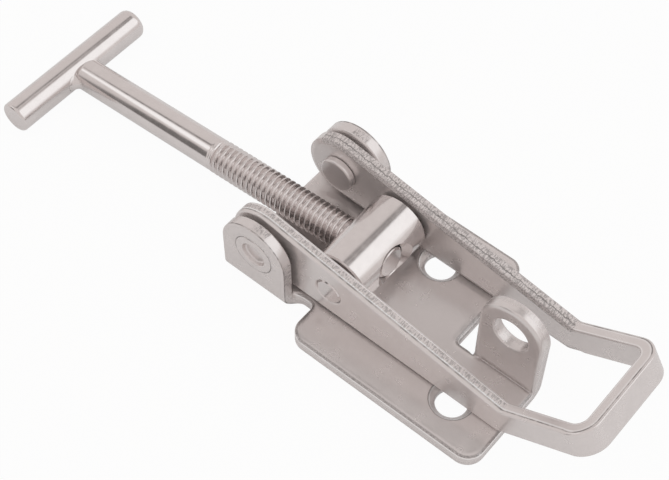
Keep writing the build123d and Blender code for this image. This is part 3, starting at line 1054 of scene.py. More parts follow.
@dataclass
class BasePlate(SubAssembly):
    """Folded base: floor, flanges, two ears and the padlock tab, all one sheet. Sizes in mm.

    An edge gives how far its lower and its upper corner are rounded, over the face and along the wall.
    """

    finish: SheetFinish
    sheet: float = SHEET
    pivot: Point = PIVOT
    ear_width: float = 17.0
    ear_fold_y: float = 14.5
    ear_bend_radius: float = 0.5
    ear_bend_length: float = 3.5
    ear_foot_radius: float = 2.8
    front_x: float = 45.1
    near_flange: float = 23.4
    far_flange: float = 22.6
    flange_rear_x: float = -3.4
    flange_radius: float = 4.0
    notch_radius: float = 1.2
    tab_width: float = 15.3
    tab_fold_y: float = -2.6
    tab_bend_radius: float = 0.2
    tab_bend_length: float = 3.2
    tab_top_z: float = 26.2
    eye_z: float = 18.2
    eye_radius: float = 4.25
    cut_out_x: float = 25.5
    cut_out_y: float = -2.3
    cut_out_radius: float = 3.5
    cut_out_inner_radii: Point = (0.2, 0.8)
    screw_radius: float = 3.45
    screw_sink: float = 1.6
    screws: tuple[Point, Point] = ((32.9, -13.8), (10.7, 11.5))
    rivet_radius: float = 3.02
    sink_reach: float = 2.2
    sink_depth: float = 1.6
    flat_edge: Corners = ((0.18, 0.18), (1.6, 0.45))
    folded_edge: Corners = ((0.14, 0.14), (1.1, 0.6))
    eye_edge: Corners = ((0.4, 0.4), (0.4, 0.4))
    # Height in the sheet of the painted shade line along the ears' edges.
    ear_painted_line: float = 0.25
    crease: float = 0.2
    fold_margin: float = 0.6  # beyond an ear's foot, where its fold ends
    edge_margin: float = 1.0  # beyond an ear or the cut-out, where the edge changes
    tab_ease: float = 1.2  # from the tab's rear, where its fold begins
    tab_blend: float = 1.5  # past the tab's fold line, over which its edge changes
    spacing: float = 0.4
    seed_step: float = 1.4

    def __post_init__(self) -> None:
        """Works out where the ears, the tab and the folds lie on the blank."""
        half = self.ear_width / 2
        self.ear_front, self.ear_rear = self.pivot[0] + half, self.pivot[0] - half
        self.tab_rear = self.front_x - self.tab_width
        fold_end = self.ear_fold_y + self.ear_bend_length
        self.ear_y = fold_end + self.pivot[1] - self.sheet - self.ear_bend_radius
        self.folds = (
            (self.ear_fold_y, self.ear_bend_length),
            (-self.ear_fold_y, -self.ear_bend_length),
            (self.tab_fold_y, self.tab_bend_length),
        )

    def _fold(self, past: float, height: float, bend_radius: float, bend_length: float) -> Point:
        """Where a place past a fold line comes to lie.

        Args:
            past: Its distance past the fold line on the blank.
            height: Its height in the sheet.
            bend_radius: The fold's inside radius.
            bend_length: The length of blank that the fold takes up.

        Returns:
            Its distance past the fold line and its height above the base.
        """
        radius = bend_radius + self.sheet - height
        angle = min(past / bend_length, 1.0) * math.pi / 2
        rise = max(past - bend_length, 0.0)
        return radius * math.sin(angle), bend_radius + self.sheet - radius * math.cos(angle) + rise

    def place(self, x: float, y: float, height: float) -> Vector:
        """Folds a place on the blank into the finished plate.

        Args:
            x: The place along the latch.
            y: The place across it, on the blank.
            height: The height in the sheet.

        Returns:
            The folded place.
        """
        past_ear = abs(y) - self.ear_fold_y
        if past_ear > 0 and x < self.ear_front + self.ear_foot_radius + self.fold_margin:
            out, z = self._fold(past_ear, height, self.ear_bend_radius, self.ear_bend_length)
            return Vector((x, math.copysign(self.ear_fold_y + out, y), z))
        past_tab = y - self.tab_fold_y
        if past_tab > 0 and x > self.cut_out_x + self.edge_margin:
            out, z = self._fold(past_tab, height, self.tab_bend_radius, self.tab_bend_length)
            if height > self.sheet - TOUCH and past_tab < self.tab_bend_length + TOUCH:
                out, z = out + self.crease, z - self.crease
            share = smooth_step(x - self.tab_rear + self.tab_ease)
            return Vector((x, y, height)).lerp(Vector((x, self.tab_fold_y + out, z)), share)
        return Vector((x, y, height))

    def _outline(self) -> Outline:
        """The blank's outer edge.

        Returns:
            The edge, counterclockwise from an ear.
        """
        half, tab_half = self.ear_width / 2, self.tab_width / 2
        ear_front, ear_rear, ear_top = self.ear_front, self.ear_rear, self.ear_y + half
        tab_rear, tab_top = self.tab_rear, self._tab_y(self.tab_top_z)
        near, far = self.near_flange, self.far_flange
        rear, notch = self.flange_rear_x, self.notch_radius
        return Outline(
            [
                Corner(ear_rear, -ear_top, half),
                Corner(ear_front, -ear_top, half),
                Corner(ear_front, -self.ear_fold_y, self.ear_foot_radius),
                Corner(rear, -self.ear_fold_y, notch),
                Corner(rear, -near, self.flange_radius),
                Corner(self.front_x, -near, self.flange_radius),
                Corner(self.front_x, tab_top, tab_half),
                Corner(tab_rear, tab_top, tab_half),
                Corner(tab_rear, self.cut_out_y, self.cut_out_inner_radii[0]),
                Corner(self.cut_out_x, self.cut_out_y, self.cut_out_inner_radii[1]),
                Corner(self.cut_out_x, far, self.cut_out_radius),
                Corner(rear, far, self.flange_radius),
                Corner(rear, self.ear_fold_y, notch),
                Corner(ear_front, self.ear_fold_y, self.ear_foot_radius),
                Corner(ear_front, ear_top, half),
                Corner(ear_rear, ear_top, half),
            ],
            self.spacing,
        )

    def _tab_y(self, z: float) -> float:
        """Where on the blank a height on the tab lies."""
        return self.tab_fold_y + self.tab_bend_length + z - self.sheet - self.tab_bend_radius

    def _folded_share(self, x: float, y: float) -> float:
        """1 on the ears and the tab, 0 on the flat of the plate."""
        on_tab = ease(y, self.tab_fold_y, self.tab_blend) if x > self.cut_out_x + self.edge_margin else 0.0
        return max(on_tab, smooth_step(self.ear_front + self.edge_margin - x))

    def _line(self, x: float, _: float) -> float:
        """The height of the painted shade line along the ears' edges."""
        return self.ear_painted_line if x < self.ear_front + self.edge_margin else 0.0

    def _torn(self, x: float, y: float, height: float) -> float:
        """How torn the cut edge is: rough at the cut-out and in two places round each ear.

        Args:
            x: The place along the latch.
            y: The place across it, on the blank.
            height: The height in the sheet.

        Returns:
            0 where it is smooth, 1 where it is rough.
        """
        ear_margin, ear_foot, rough_turns, worn_turn = 0.2, -4.0, (68, 93), 14
        ear_tear, cut_out_tear, broken_height = (0.7, 0.6), (0.8, 0.8), 1.2
        worn, broken = 0.8, 0.3
        out = abs(y) - self.ear_y
        if x < self.ear_front + ear_margin and out > ear_foot:
            turn = math.degrees(math.atan2(out, x - self.pivot[0]))
            if rough_turns[0] < turn < rough_turns[1]:
                return ease(height, *ear_tear)
            return worn if turn < worn_turn else 0.0
        if abs(x - self.cut_out_x) < self.fold_margin and y > self.cut_out_y:
            return ease(height, *cut_out_tear)
        return broken if height < broken_height else 0.0

    def _seeds(self) -> np.ndarray:
        """Inner vertices: an even grid, and close rows in the folds.

        Returns:
            Their places on the blank.
        """
        step, margin, rows_a_fold = self.seed_step, self.seed_step / 2, 11
        top = self.ear_y + self.ear_width / 2
        ys = np.arange(-top, top, step)
        spans = [sorted((fold, fold + length)) for fold, length in self.folds]
        in_fold = np.any([(ys > low - margin) & (ys < high + margin) for low, high in spans], axis=0)
        seeds = [(x, y) for y in ys[~in_fold] for x in np.arange(self.ear_rear, self.front_x, step)]
        xs = np.arange(self.ear_rear, self.front_x, margin)
        for row in range(-1, rows_a_fold + 2):
            seeds += [(x, fold + row / rows_a_fold * length) for fold, length in self.folds for x in xs]
        return np.array(seeds)

    def build(self, effects: Effects) -> list[Dressed]:
        """Meshes the blank with its holes and folds it.

        Args:
            effects: The shared effects.

        Returns:
            The pieces, with what each stands for.
        """
        flat, folded, eye = (
            EdgeProfile.sheared(self.sheet, *corner)
            for corner in (self.flat_edge, self.folded_edge, self.eye_edge)
        )
        screw = EdgeProfile.screw_sink(self.sheet, self.screw_sink)
        sink = EdgeProfile.countersunk(self.sheet, self.sink_reach, self.sink_depth)
        holes = [(Hole(x, y, self.screw_radius), screw) for x, y in self.screws]
        holes.append((Hole(self.front_x - self.tab_width / 2, self._tab_y(self.eye_z), self.eye_radius), eye))
        holes += [(Hole(self.pivot[0], y, self.rivet_radius), sink) for y in (-self.ear_y, self.ear_y)]
        blank = Blank(self._outline(), (flat, folded), holes, self._folded_share, self._torn, self._line)
        mesh = blank.mesh("folded_plate", self.place, self._seeds())
        piece = finished_object("folded_plate", mesh, self.finish.material(effects))
        return [Dressed(piece, "base", "base_plate", Slot.SHEET)]


@dataclass
class Handle(SubAssembly):
    """Handle: one strip on edge, two arms joined by a cranked loop. Sizes in mm.

    An edge gives how far its lower and its upper corner are rounded, over the face and along the wall.
    """

    finish: SheetFinish
    sheet: float = SHEET
    pivot: Point = PIVOT
    trunnion: Point = TRUNNION
    arm_outer_y: float = 14.0
    end_centre: Point = (-17.6, 12.6)
    end_radius: float = 8.5
    foot_z: float = 3.15
    crank: Point = (44.2, 10.65)
    crank_angle: float = 30.9
    strip_width: float = 6.5
    crank_length: float = 21.5
    loop_inner_radius: float = 2.5
    loop_bend_length: float = 6.3
    crank_top_radius: float = 1.6
    crank_foot_radius: float = 2.0
    rivet_hole: float = 3.05
    stub_hole: float = 3.15
    near_edge: Corners = ((0.4, 0.7), (0.5, 0.2))
    far_edge: Corners = ((0.2, 0.2), (1.1, 0.4))
    rivet_edge: Corners = ((0.12, 0.12), (0.25, 0.2))
    stub_edge: Corners = ((0.4, 0.5), (0.25, 0.2))
    # Heights in the sheet of the painted shade and highlight lines, on the near arm and on the loop.
    near_painted_line: float = 0.8
    bar_painted_line: float = 0.55
    bar_blend: Point = (-1.0, 3.0)
    spacing: float = 0.4
    seed_step: float = 1.4

    def __post_init__(self) -> None:
        """Works out the strip's direction, where its bends start and how long the blank is."""
        turn = math.radians(self.crank_angle)
        self.way = Vector((math.cos(turn), math.sin(turn)))
        self.across = Vector((-math.sin(turn), math.cos(turn)))
        outer = self.loop_inner_radius + self.sheet
        self.bend_start = Vector(self.crank) + self.way * (self.crank_length - outer)
        self.bend_y = self.arm_outer_y - outer
        self.length = 2 * (self.loop_bend_length + self.bend_y)

    def _flat(self, x: float, z: float) -> Vector:
        """Where a place on the near arm lies on the blank."""
        away = Vector((x, z)) - self.bend_start
        return Vector((away.dot(self.way), away.dot(self.across)))

    def place(self, p: float, q: float, height: float) -> Vector:
        """Folds a place on the blank into the finished handle.

        Args:
            p: The place along the strip, from the near bend.
            q: The place across it.
            height: The height in the sheet.

        Returns:
            The folded place.
        """
        side = -1.0
        if p > self.length / 2:
            p, side = self.length - p, 1.0
        radius = self.loop_inner_radius + self.sheet - height
        along, y = p, self.bend_y + radius
        if p > self.loop_bend_length:
            along, y = radius, self.length / 2 - p
        elif p > 0:
            angle = p / self.loop_bend_length * math.pi / 2
            along, y = radius * math.sin(angle), self.bend_y + radius * math.cos(angle)
        spot = self.bend_start + self.way * along + self.across * q
        return Vector((spot.x, side * y, spot.y))

    def _far_share(self, p: float, _: float) -> float:
        """1 on the far arm, 0 on the near arm and the loop."""
        before_crank, blend = 6.5, 2.0
        return ease(p, self.length + self.crank_length - before_crank, blend)

    def _line(self, p: float, q: float) -> float:
        """The height of the painted shade and highlight lines along the edge of the near arm and the loop."""
        on_bar = ease(p, *self.bar_blend)
        return (self.near_painted_line + (self.bar_painted_line - self.near_painted_line) * on_bar) * (1 - self._far_share(p, q))

    def _torn(self, p: float, _: float, height: float) -> float:
        """How torn the cut edge is: all of it on the far arm, half on the near arm, nothing on the loop.

        Args:
            p: The place along the strip.
            _: The place across it.
            height: The height in the sheet.

        Returns:
            0 where it is smooth, 1 where it is rough, 2 where it is cracked.
        """
        before_crank, far_margin, near_margin, cracked = 5.5, 1.5, 3.0, 2.0
        (low, rise), (high, fall) = (0.9, 0.3), (2.4, 0.4)
        pivot, crank = self._flat(*self.pivot).x, self.crank_length - before_crank
        if p > self.length + crank:
            return cracked if p < self.length - pivot + far_margin else 0.0
        if pivot - near_margin < p < -crank:
            return smooth_step((high - height) / fall) * ease(height, low, rise)
        return 0.0

    def _tangent(self, x: float, z: float, side: float) -> float:
        """The angle at which a line from a place touches the arm's round end."""
        away = Vector((x - self.end_centre[0], z - self.end_centre[1]))
        return math.atan2(away.y, away.x) + side * math.acos(self.end_radius / away.length)

    def _outline(self) -> Outline:
        """The blank's edge: near arm, loop and far arm in one line.

        Returns:
            The edge, counterclockwise from the near arm's end.
        """
        turn = math.radians(self.crank_angle)
        foot_drop = self.strip_width * math.cos(turn)
        foot_slide = (self.crank[1] - foot_drop - self.foot_z) / math.sin(turn)
        foot_x = self.crank[0] + self.strip_width * math.sin(turn) - foot_slide * math.cos(turn)
        upper = self._tangent(*self.crank, 1)
        lower = self._tangent(foot_x, self.foot_z, -1) + 2 * math.pi
        share = (lower - upper) / 3
        reach = self.end_radius / math.cos(share / 2)
        near = []
        for number in range(3):
            angle = upper + share * (number + 0.5)
            x, z = self.end_centre[0] + reach * math.cos(angle), self.end_centre[1] + reach * math.sin(angle)
            near.append(Corner(*self._flat(x, z), self.end_radius))
        near.append(Corner(*self._flat(foot_x, self.foot_z), self.crank_foot_radius))
        top = Corner(*self._flat(*self.crank), self.crank_top_radius)
        far = [Corner(self.length - one.x, one.y, one.radius) for one in (*reversed(near), top)]
        return Outline([*near, *far, top], self.spacing)

    def _seeds(self) -> np.ndarray:
        """Inner vertices: close rows in the two bends, and an even grid elsewhere.

        Returns:
            Their places on the blank.
        """
        step, margin, rows_a_bend = self.seed_step, self.seed_step / 2, 15
        height, cross_step, past_end, middle_gap = 60, 1.3, 6, 0.5
        reach = self._flat(self.end_centre[0] - self.end_radius, self.end_centre[1]).x - past_end
        ps = np.arange(reach, self.length / 2, step)
        ps = ps[(ps < -margin) | (ps > self.loop_bend_length + margin)]
        bend = np.arange(-1, rows_a_bend + 2) / rows_a_bend * self.loop_bend_length
        near = [(p, q) for p in np.concatenate([ps, bend]) for q in np.arange(-height, height, cross_step)]
        far = [(self.length - p, q) for p, q in near if p < self.length / 2 - middle_gap]
        return np.array(near + far)

    def build(self, effects: Effects) -> list[Dressed]:
        """Meshes the blank with its four holes and bends it.

        Args:
            effects: The shared effects.

        Returns:
            The pieces, with what each stands for.
        """
        near_edge = EdgeProfile.sheared(self.sheet, *self.near_edge)
        far_edge = EdgeProfile.sheared(self.sheet, *self.far_edge, bevelled=True)
        holes = []
        for centre, radius, rounding in (
            (self.pivot, self.rivet_hole, self.rivet_edge),
            (self.trunnion, self.stub_hole, self.stub_edge),
        ):
            spot = self._flat(*centre)
            edge = EdgeProfile.sheared(self.sheet, *rounding)
            holes += [(Hole(p, spot.y, radius), edge) for p in (spot.x, self.length - spot.x)]
        blank = Blank(self._outline(), (near_edge, far_edge), holes, self._far_share, self._torn, self._line)
        mesh = blank.mesh("bent_handle", self.place, self._seeds())
        piece = finished_object("bent_handle", mesh, self.finish.material(effects))
        return [Dressed(piece, "handle", "handle", Slot.SHEET)]


@dataclass
class PivotRivets(SubAssembly):
    """The two rivets of the fixed pivot. Sizes in mm."""

    finish: TurnedFinish
    pivot: Point = PIVOT
    radius: float = 3.0
    sink_radius: float = 5.2
    sink_depth: float = 1.6
    seam: float = 0.2
    dish_radius: float = 3.1
    dish_floor_radius: float = 2.8
    dish_depth: float = 1.1
    head_radius: float = 4.3
    head_height: float = 1.7
    head_y: float = 9.2
    face_y: float = 18.0
    clearance: float = 0.02

    def _profile(self) -> list[Point]:
        """The rivet's outline from its inner head to its flush end, as radius and place along it.

        Returns:
            The outline's points.
        """
        slope = (self.sink_radius - self.radius) / self.sink_depth
        seam_radius = self.sink_radius - self.seam * slope - self.clearance
        shoulder = self.head_y + self.head_height
        return rounded_line(
            [
                Corner(0, self.head_y),
                Corner(self.head_radius, self.head_y, 0.5),
                Corner(self.head_radius, shoulder, 0.25),
                Corner(self.radius, shoulder, 0.1),
                Corner(self.radius, self.face_y - self.sink_depth, 0.2),
                Corner(seam_radius, self.face_y - self.seam, 0.05),
                Corner(seam_radius - self.seam, self.face_y, 0.15),
                Corner(self.dish_radius, self.face_y, 0.3),
                Corner(self.dish_floor_radius, self.face_y - self.dish_depth, 0.4),
                Corner(0, self.face_y - self.dish_depth),
            ]
        )

    def build(self, effects: Effects) -> list[Dressed]:
        """Turns both rivets.

        Args:
            effects: The shared effects.

        Returns:
            The pieces, with what each stands for.
        """
        material = self.finish.material(effects)
        made = []
        for side, label in ((-1, "near"), (1, "far")):
            centre, axis = Vector((self.pivot[0], 0, self.pivot[1])), Vector((0, side, 0))
            mesh = turned_mesh(f"{label}_rivet", self._profile(), centre, axis)
            piece = finished_object(f"{label}_rivet", mesh, material)
            made.append(Dressed(piece, "base", f"pivot_rivet_{label}", Slot.TURNED))
        return made


@dataclass
class ScrewHook(SubAssembly):
    """The T-bar hook: screwed rod, cross bar and the weld between them. Sizes in mm."""

    rod_finish: DrawnFinish
    bar_finish: DrawnFinish
    weld_finish: DrawnFinish
    trunnion: Point = TRUNNION
    rod_radius: float = 3.97
    shank_radius: float = 3.88
    bar_radius: float = 3.75
    bar_length: float = 40.0
    bar_distance: float = 89.5
    bar_offset: float = -0.4
    bar_edges: tuple[float, float] = (0.7, 1.6)
    front_reach: float = 5.8
    tip_edge: float = 0.7
    lap: float = 3.3
    lap_edge: float = 1.0
    pitch: float = 1.411
    thread_depth: float = 0.8
    thread_start: float = -44.5
    run_out: float = 2.4
    thread_form: tuple[Point, ...] = (
        (0.0, 0.05), (0.03, 0.0), (0.24, 0.0), (0.27, 0.05), (0.37, 0.38), (0.47, 0.71),
        (0.56, 0.96), (0.6, 1.0), (0.65, 1.0), (0.69, 0.96), (0.79, 0.6), (0.9, 0.25),
    )  # places along one turn of the thread, with their share of its depth
    around: int = 60
    fillets: tuple[float, float] = (2.2, 0.6)
    fillet_sections: int = 40
    fillet_steps: int = 9
    weld_root: float = 0.6

    def __post_init__(self) -> None:
        """Works out the rod's axis, which droops until the cross bar rests on the base's plane."""
        droop = math.asin((self.trunnion[1] - self.bar_radius) / self.bar_distance)
        self.origin = Vector((self.trunnion[0], 0, self.trunnion[1]))
        self.axis = Vector((math.cos(droop), 0, math.sin(droop)))
        self.up = Vector((-math.sin(droop), 0, math.cos(droop)))
        self.side = Vector((0, 1, 0))

    def spot(self, along: float, radius: float, angle: float) -> Vector:
        """A place by its distance along the rod, its radius and its angle round it from the top."""
        around = self.up * math.cos(angle) - self.side * math.sin(angle)
        return self.origin + self.axis * along + around * radius

    def _thread_radius(self, along: float, depth: float) -> float:
        """The radius of the thread, run out towards the shank and chamfered at the tip.

        Args:
            along: The place along the rod.
            depth: The share of the thread's depth.

        Returns:
            The radius, in mm.
        """
        grown = smooth_step((along - self.thread_start) / self.run_out)
        crest = self.shank_radius + (self.rod_radius - self.shank_radius) * grown
        tip = self.rod_radius - max(0.0, along - self.front_reach + self.tip_edge)
        return min(crest - self.thread_depth * depth * grown, tip)

    def _ring(self, points: list[Vector], along: float, radius: float) -> list[int]:
        """Adds a ring of vertices round the rod.

        Args:
            points: The rod's vertices so far.
            along: The ring's place along the rod.
            radius: Its radius.

        Returns:
            The new vertices' numbers.
        """
        first = len(points)
        points.extend(self.spot(along, radius, 2 * math.pi * i / self.around) for i in range(self.around))
        return list(range(first, first + self.around))

    def _thread(self, points: list[Vector], low: float, high: float) -> list[dict[int, int]]:
        """Adds the thread's vertices, which follow its helix.

        Args:
            points: The rod's vertices so far.
            low: Where the thread's vertices begin along the rod.
            high: Where they end.

        Returns:
            For each angle round the rod, its vertices by their place in the line of the helix.
        """
        rows = len(self.thread_form)
        columns: list[dict[int, int]] = []
        for i in range(self.around):
            column: dict[int, int] = {}
            start = math.floor((low / self.pitch - 1) * rows)
            for n in range(start, start + math.ceil((high - low) / self.pitch + 3) * rows):
                phase, depth = self.thread_form[n % rows]
                along = self.pitch * (n // rows + phase + i / self.around)
                if low <= along <= high:
                    column[n] = len(points)
                    radius = self._thread_radius(along, depth)
                    points.append(self.spot(along, radius, 2 * math.pi * i / self.around))
            columns.append(column)
        return columns

    def _rod_mesh(self) -> Mesh:
        """The rod: its thread, the shank behind it, its rounded end and its chamfered tip.

        Returns:
            The mesh, in metres.
        """
        around, rows, tip_radius = self.around, len(self.thread_form), self.rod_radius - self.tip_edge
        thread_lead, shank_gap, tip_gap, tip_rim = 0.2, 0.6, 0.05, 0.15
        end = self.lap - self.bar_distance
        points: list[Vector] = []
        faces: list[tuple[int, ...]] = []
        columns = self._thread(points, self.thread_start - thread_lead, self.front_reach - tip_gap)
        shank = self._ring(points, self.thread_start - shank_gap, self.shank_radius)
        tip = self._ring(points, self.front_reach, tip_radius)
        for i in range(around):
            j, shift = (i + 1) % around, rows if i == around - 1 else 0
            here, there = columns[i], {n - shift: vertex for n, vertex in columns[j].items()}
            for n in here:
                if n + 1 in here and n in there and n + 1 in there:
                    faces.append((here[n], here[n + 1], there[n + 1], there[n]))
            first, other = min(here), min(there)
            below = [there[n] for n in range(other, max(first, other) + 1)]
            faces.append((shank[i], here[first], *reversed(below), shank[j]))
            last, other = max(here), max(there)
            above = [here[n] for n in range(min(last, other), last + 1)]
            faces.append((tip[j], there[other], *above, tip[i]))
        rings = [shank]
        for inset, drop in quarter_round(self.lap_edge, self.lap_edge, 6):
            rings.append(self._ring(points, end + drop, self.shank_radius - inset))
        end_centre, tip_centre = len(points), len(points) + 1
        points += [self.spot(end, 0, 0), self.spot(self.front_reach, 0, 0)]
        inner = self._ring(points, self.front_reach, tip_radius - tip_rim)
        for low, high in zip(rings, rings[1:]):
            faces += band(low, high)
        for i in range(around):
            j = (i + 1) % around
            faces.append((rings[-1][i], rings[-1][j], end_centre))
            faces += [(tip[i], inner[i], inner[j], tip[j]), (inner[i], tip_centre, inner[j])]
        return closed_mesh("screw_rod", points, faces)

    def _bar_mesh(self) -> Mesh:
        """The cross bar with its rounded ends.

        Returns:
            The mesh, in metres.
        """
        near, far = self.bar_offset - self.bar_length / 2, self.bar_offset + self.bar_length / 2
        line = rounded_line(
            [
                Corner(0, near),
                Corner(self.bar_radius, near, self.bar_edges[0]),
                Corner(self.bar_radius, far, self.bar_edges[1]),
                Corner(0, far),
            ]
        )
        return turned_mesh("t_bar", line, self.origin - self.axis * self.bar_distance, self.side, 112)

    def _bulge(self, height: float) -> float:
        """How far the cross bar's surface stands in front of its axis at a height on it."""
        return math.sqrt(max(self.bar_radius**2 - height**2, 0.0))

    def _weld_section(self, angle: float, reach: float, side: int) -> list[Vector]:
        """One section of a bead: its concave face, then its root inside the bars.

        Args:
            angle: Where it stands round the rod, from the top.
            reach: How far the bead reaches over both bars.
            side: 1 for the near side, -1 for the far one.

        Returns:
            The section's vertices.
        """
        row = []
        for step in range(self.fillet_steps + 1):
            turn = math.pi / 2 * step / self.fillet_steps
            radius = self.shank_radius + reach * (1 - math.cos(turn))
            along = self._bulge(radius * math.cos(angle)) - self.bar_distance + reach * (1 - math.sin(turn))
            row.append(self.spot(along, radius, side * angle))
        radius = self.shank_radius - self.weld_root
        along = self._bulge(radius * math.cos(angle)) - self.bar_distance - self.weld_root
        return [*row, self.spot(along, radius, side * angle)]

    def _weld_mesh(self) -> Mesh:
        """Two concave beads beside the rod, which fade out over and under it.

        Returns:
            The mesh, in metres.
        """
        sections, width = self.fillet_sections, self.fillet_steps + 2
        overlap, least_reach, fade = 0.08, 0.02, 0.7
        start = math.acos(self._bulge(self.lap) / self.shank_radius) - overlap
        points: list[Vector] = []
        faces: list[tuple[int, ...]] = []
        for side, size in zip((1, -1), self.fillets):
            rows = []
            for section in range(sections + 1):
                angle = start + (math.pi - 2 * start) * section / sections
                reach = least_reach + size * math.sin(math.pi * section / sections) ** fade
                rows.append(range(len(points), len(points) + width))
                points += self._weld_section(angle, reach, side)
            for low, high in zip(rows, rows[1:]):
                faces += band(low, high)
            faces += [tuple(rows[0]), tuple(rows[-1])]
        return closed_mesh("weld_bead", points, faces)

    def build(self, effects: Effects) -> list[Dressed]:
        """Builds the rod, the cross bar and the weld.

        Args:
            effects: The shared effects.

        Returns:
            The pieces, with what each stands for.
        """
        return [
            Dressed(finished_object(name, mesh, finish.material(effects)), "t_hook", node, slot)
            for name, mesh, finish, node, slot in (
                ("screw_rod", self._rod_mesh(), self.rod_finish, "threaded_rod", Slot.BAR),
                ("t_bar", self._bar_mesh(), self.bar_finish, "t_crossbar", Slot.BAR),
                ("weld_bead", self._weld_mesh(), self.weld_finish, "t_weld", Slot.WELD),
            )
        ]


@dataclass
class Trunnion(SubAssembly):
    """The cross-drilled barrel, whose solid stays and gets its finish."""

    finish: TurnedFinish

    def build(self, effects: Effects) -> list[Dressed]:
        """Dresses the barrel.

        Args:
            effects: The shared effects.

        Returns:
            Nothing, as no piece is added.
        """
        barrel = bpy.data.objects["trunnion"]
        material = self.finish.material(effects)
        for slot in barrel.material_slots:
            slot.material = material
        return []


# ---- studio ----------------------------------------------------------------------------------------


@dataclass(frozen=True)
class Panel:
    """An area of the room, by the directions in which it is seen from the latch.

    Attributes:
        across: Its limits to the camera's right.
        nearer: Its limits towards the camera.
        above: Its limits upwards.
        level: How light it is.
        soft: How soft its edges are.
    """

    across: Point
    nearer: Point
    above: Point
    level: float
    soft: float = 0.04


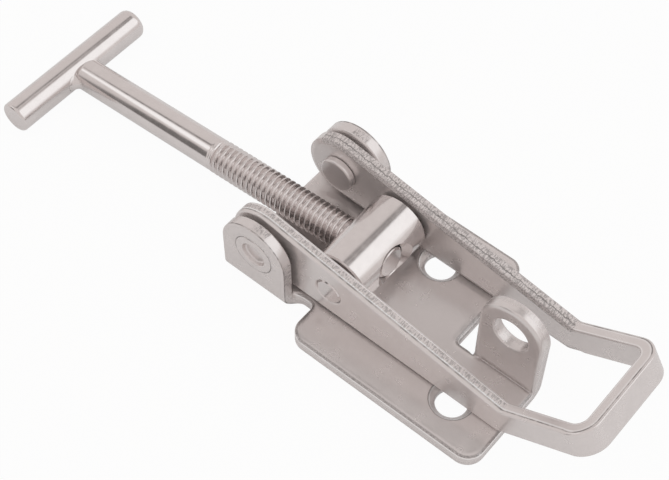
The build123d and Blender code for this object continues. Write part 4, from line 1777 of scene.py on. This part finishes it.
@dataclass
class Studio:
    """Camera, floor and the room that the metal mirrors. Sizes in metres."""

    camera_place: tuple[float, float, float] = (0.10997, -0.14575, 0.2757)
    camera_way: tuple[float, float, float] = (-0.36325, 0.44201, -0.82017)
    camera_roll: float = 0.0071
    lens: float = 81.58
    right: tuple[float, float, float] = (0.7689, 0.6394, 0.0)
    nearer: tuple[float, float, float] = (0.6394, -0.7689, 0.0)
    floor_size: float = 6.0
    floor_z: float = -0.05 * MM
    floor_tone: Colour = (0.8, 0.8, 0.8)
    floor_white: float = 0.95
    mirrored_white: float = 0.32
    room: Colour = (0.735, 0.69, 0.674)
    panels: tuple[Panel, ...] = (
        Panel((-0.6, 0.3), (-0.47, -0.35), (0.3, 1.2), 0.3, 0.03),  # dark strip overhead
        Panel((-1.2, -0.84), (0.08, 0.7), (0.0, 0.55), 0.22),  # dark side
        Panel((0.27, 0.44), (-0.4, -0.2), (0.3, 1.2), 0.4, 0.03),  # dark band beside the right panel
        Panel((0.42, 0.915), (-0.36, 0.5), (-0.1, 1.2), 1.15, 0.03),  # pale panel to the right
        Panel((-0.79, -0.55), (-0.33, 0.02), (0.3, 1.2), 1.18, 0.03),  # pale panel to the left
    )

    def camera(self) -> None:
        """Sets up the camera."""
        data = bpy.data.cameras.new("camera")
        data.sensor_fit, data.sensor_width, data.lens = "HORIZONTAL", 36.0, self.lens
        data.dof.use_dof = False
        camera = scene_object("camera", data)
        camera.location = self.camera_place
        camera.rotation_mode = "QUATERNION"
        level = Vector(self.camera_way).to_track_quat("-Z", "Y")
        camera.rotation_quaternion = level @ Quaternion((0.0, 0.0, 1.0), self.camera_roll)
        bpy.context.scene.camera = camera

    def floor(self) -> None:
        """Lays the pale floor, which shows the white ground and keeps a soft shadow."""
        mesh, half = bpy.data.meshes.new("floor"), self.floor_size / 2
        square = [(-half, -half, 0), (half, -half, 0), (half, half, 0), (-half, half, 0)]
        mesh.from_pydata(square, [], [(0, 1, 2, 3)])
        floor = scene_object("floor", mesh)
        floor.location.z = self.floor_z
        material = bpy.data.materials.new("floor")
        graph = Graph.cleared(material)
        diffuse = graph.add("ShaderNodeBsdfDiffuse", {"Color": self.floor_tone}).outputs[0]
        glow = graph.add("ShaderNodeEmission", {"Color": (1.0, 1.0, 1.0), "Strength": 1.0}).outputs[0]
        path = graph.add("ShaderNodeLightPath").outputs
        mirrored = graph.math("MAXIMUM", path["Is Glossy Ray"], path["Is Transmission Ray"])
        seen = graph.times(path["Is Camera Ray"], self.floor_white)
        share = graph.math("MAXIMUM", seen, graph.times(mirrored, self.mirrored_white))
        shader = graph.add("ShaderNodeMixShader", {0: share, 1: diffuse, 2: glow}).outputs[0]
        graph.add("ShaderNodeOutputMaterial", {"Surface": shader})
        mesh.materials.append(material)
        floor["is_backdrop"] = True

    @staticmethod
    def _inside(graph: Graph, ways: Sequence[Socket], panel: Panel) -> Socket:
        """1 in the directions of a panel, 0 elsewhere.

        Args:
            graph: The world's graph.
            ways: How far a direction points right, nearer and up.
            panel: The panel.

        Returns:
            The panel's mask.
        """
        mask: Value = 1.0
        soft = panel.soft
        for value, (low, high) in zip(ways, (panel.across, panel.nearer, panel.above)):
            part = graph.between(value, (low - soft, low + soft), (high + soft, high - soft))
            mask = graph.times(mask, part)
        return mask

    def world(self) -> None:
        """Builds the room: an even tone with dark bands overhead, a dark side and two pale panels."""
        world = bpy.data.worlds.new("room")
        bpy.context.scene.world = world
        graph = Graph.cleared(world)
        way = graph.add("ShaderNodeTexCoord").outputs["Generated"]
        ways = [graph.dot(way, axis) for axis in (self.right, self.nearer, (0.0, 0.0, 1.0))]
        room: Value = self.room
        for panel in self.panels:
            light = (1.0, 1.0, 1.0) if panel.level > 1 else self.room
            tint = tuple(channel * panel.level for channel in light)
            room = graph.mix(self._inside(graph, ways, panel), room, tint)
        seen = graph.add("ShaderNodeLightPath").outputs["Is Camera Ray"]
        colour = graph.mix(seen, room, (1.0, 1.0, 1.0))
        shader = graph.add("ShaderNodeBackground", {"Color": colour, "Strength": 1.0}).outputs[0]
        graph.add("ShaderNodeOutputWorld", {"Surface": shader})

    def build(self) -> None:
        """Builds the studio."""
        bpy.context.scene.view_settings.view_transform = "Standard"
        self.camera()
        self.floor()
        self.world()


# ---- the latch -------------------------------------------------------------------------------------


def corners(box: Iterable[Iterable[float]]) -> list[list[float]]:
    """A box as plain lists of numbers."""
    return [[float(value) for value in corner] for corner in box]


def main() -> None:
    """Builds the studio and every sub-assembly in order."""
    logging.basicConfig(level=logging.INFO, format="%(name)s: %(message)s")
    cad_box = corners(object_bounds())
    Studio().build()
    effects = Effects()
    light, dark = (0.81, 0.77, 0.76), (0.74, 0.7, 0.69)
    arm_light, arm_dark = (0.83, 0.79, 0.78), (0.77, 0.73, 0.72)
    assemblies: list[SubAssembly] = [
        BasePlate(SheetFinish("satin_plate", light, dark, roughness=0.2, metallic=0.65)),
        # The handle's painted shade line on its rolled edge is kept faint.
        Handle(SheetFinish("satin_handle", arm_light, arm_dark, roughness=0.2, metallic=0.65, painted_roll_shade_tone=0.9)),
        PivotRivets(TurnedFinish("turned_rivet", light, dark, roughness=0.2, metallic=0.7, axis=PIVOT)),
        Trunnion(
            TurnedFinish(
                "turned_barrel", light, dark, roughness=0.11, metallic=0.92, axis=TRUNNION, line_depth=0.006
            )
        ),
        ScrewHook(
            DrawnFinish("drawn_rod", light, dark, roughness=0.12, metallic=0.95, axis=ROD_AXIS),
            DrawnFinish("drawn_bar", light, dark, roughness=0.14, metallic=0.95, axis=BAR_AXIS),
            DrawnFinish("weld_metal", light, dark, roughness=0.2, metallic=0.95, axis=BAR_AXIS),
        ),
    ]
    for assembly in assemblies:
        for dressed in assembly.build(effects):
            dressed.hand_over()
            faces = len(dressed.piece.data.polygons)
            LOG.info("%s stands for %s, %d faces", dressed.piece.name, dressed.node, faces)
    {"cad": cad_box, "visual": corners(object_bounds())}


if __name__ == "__main__":
    main()
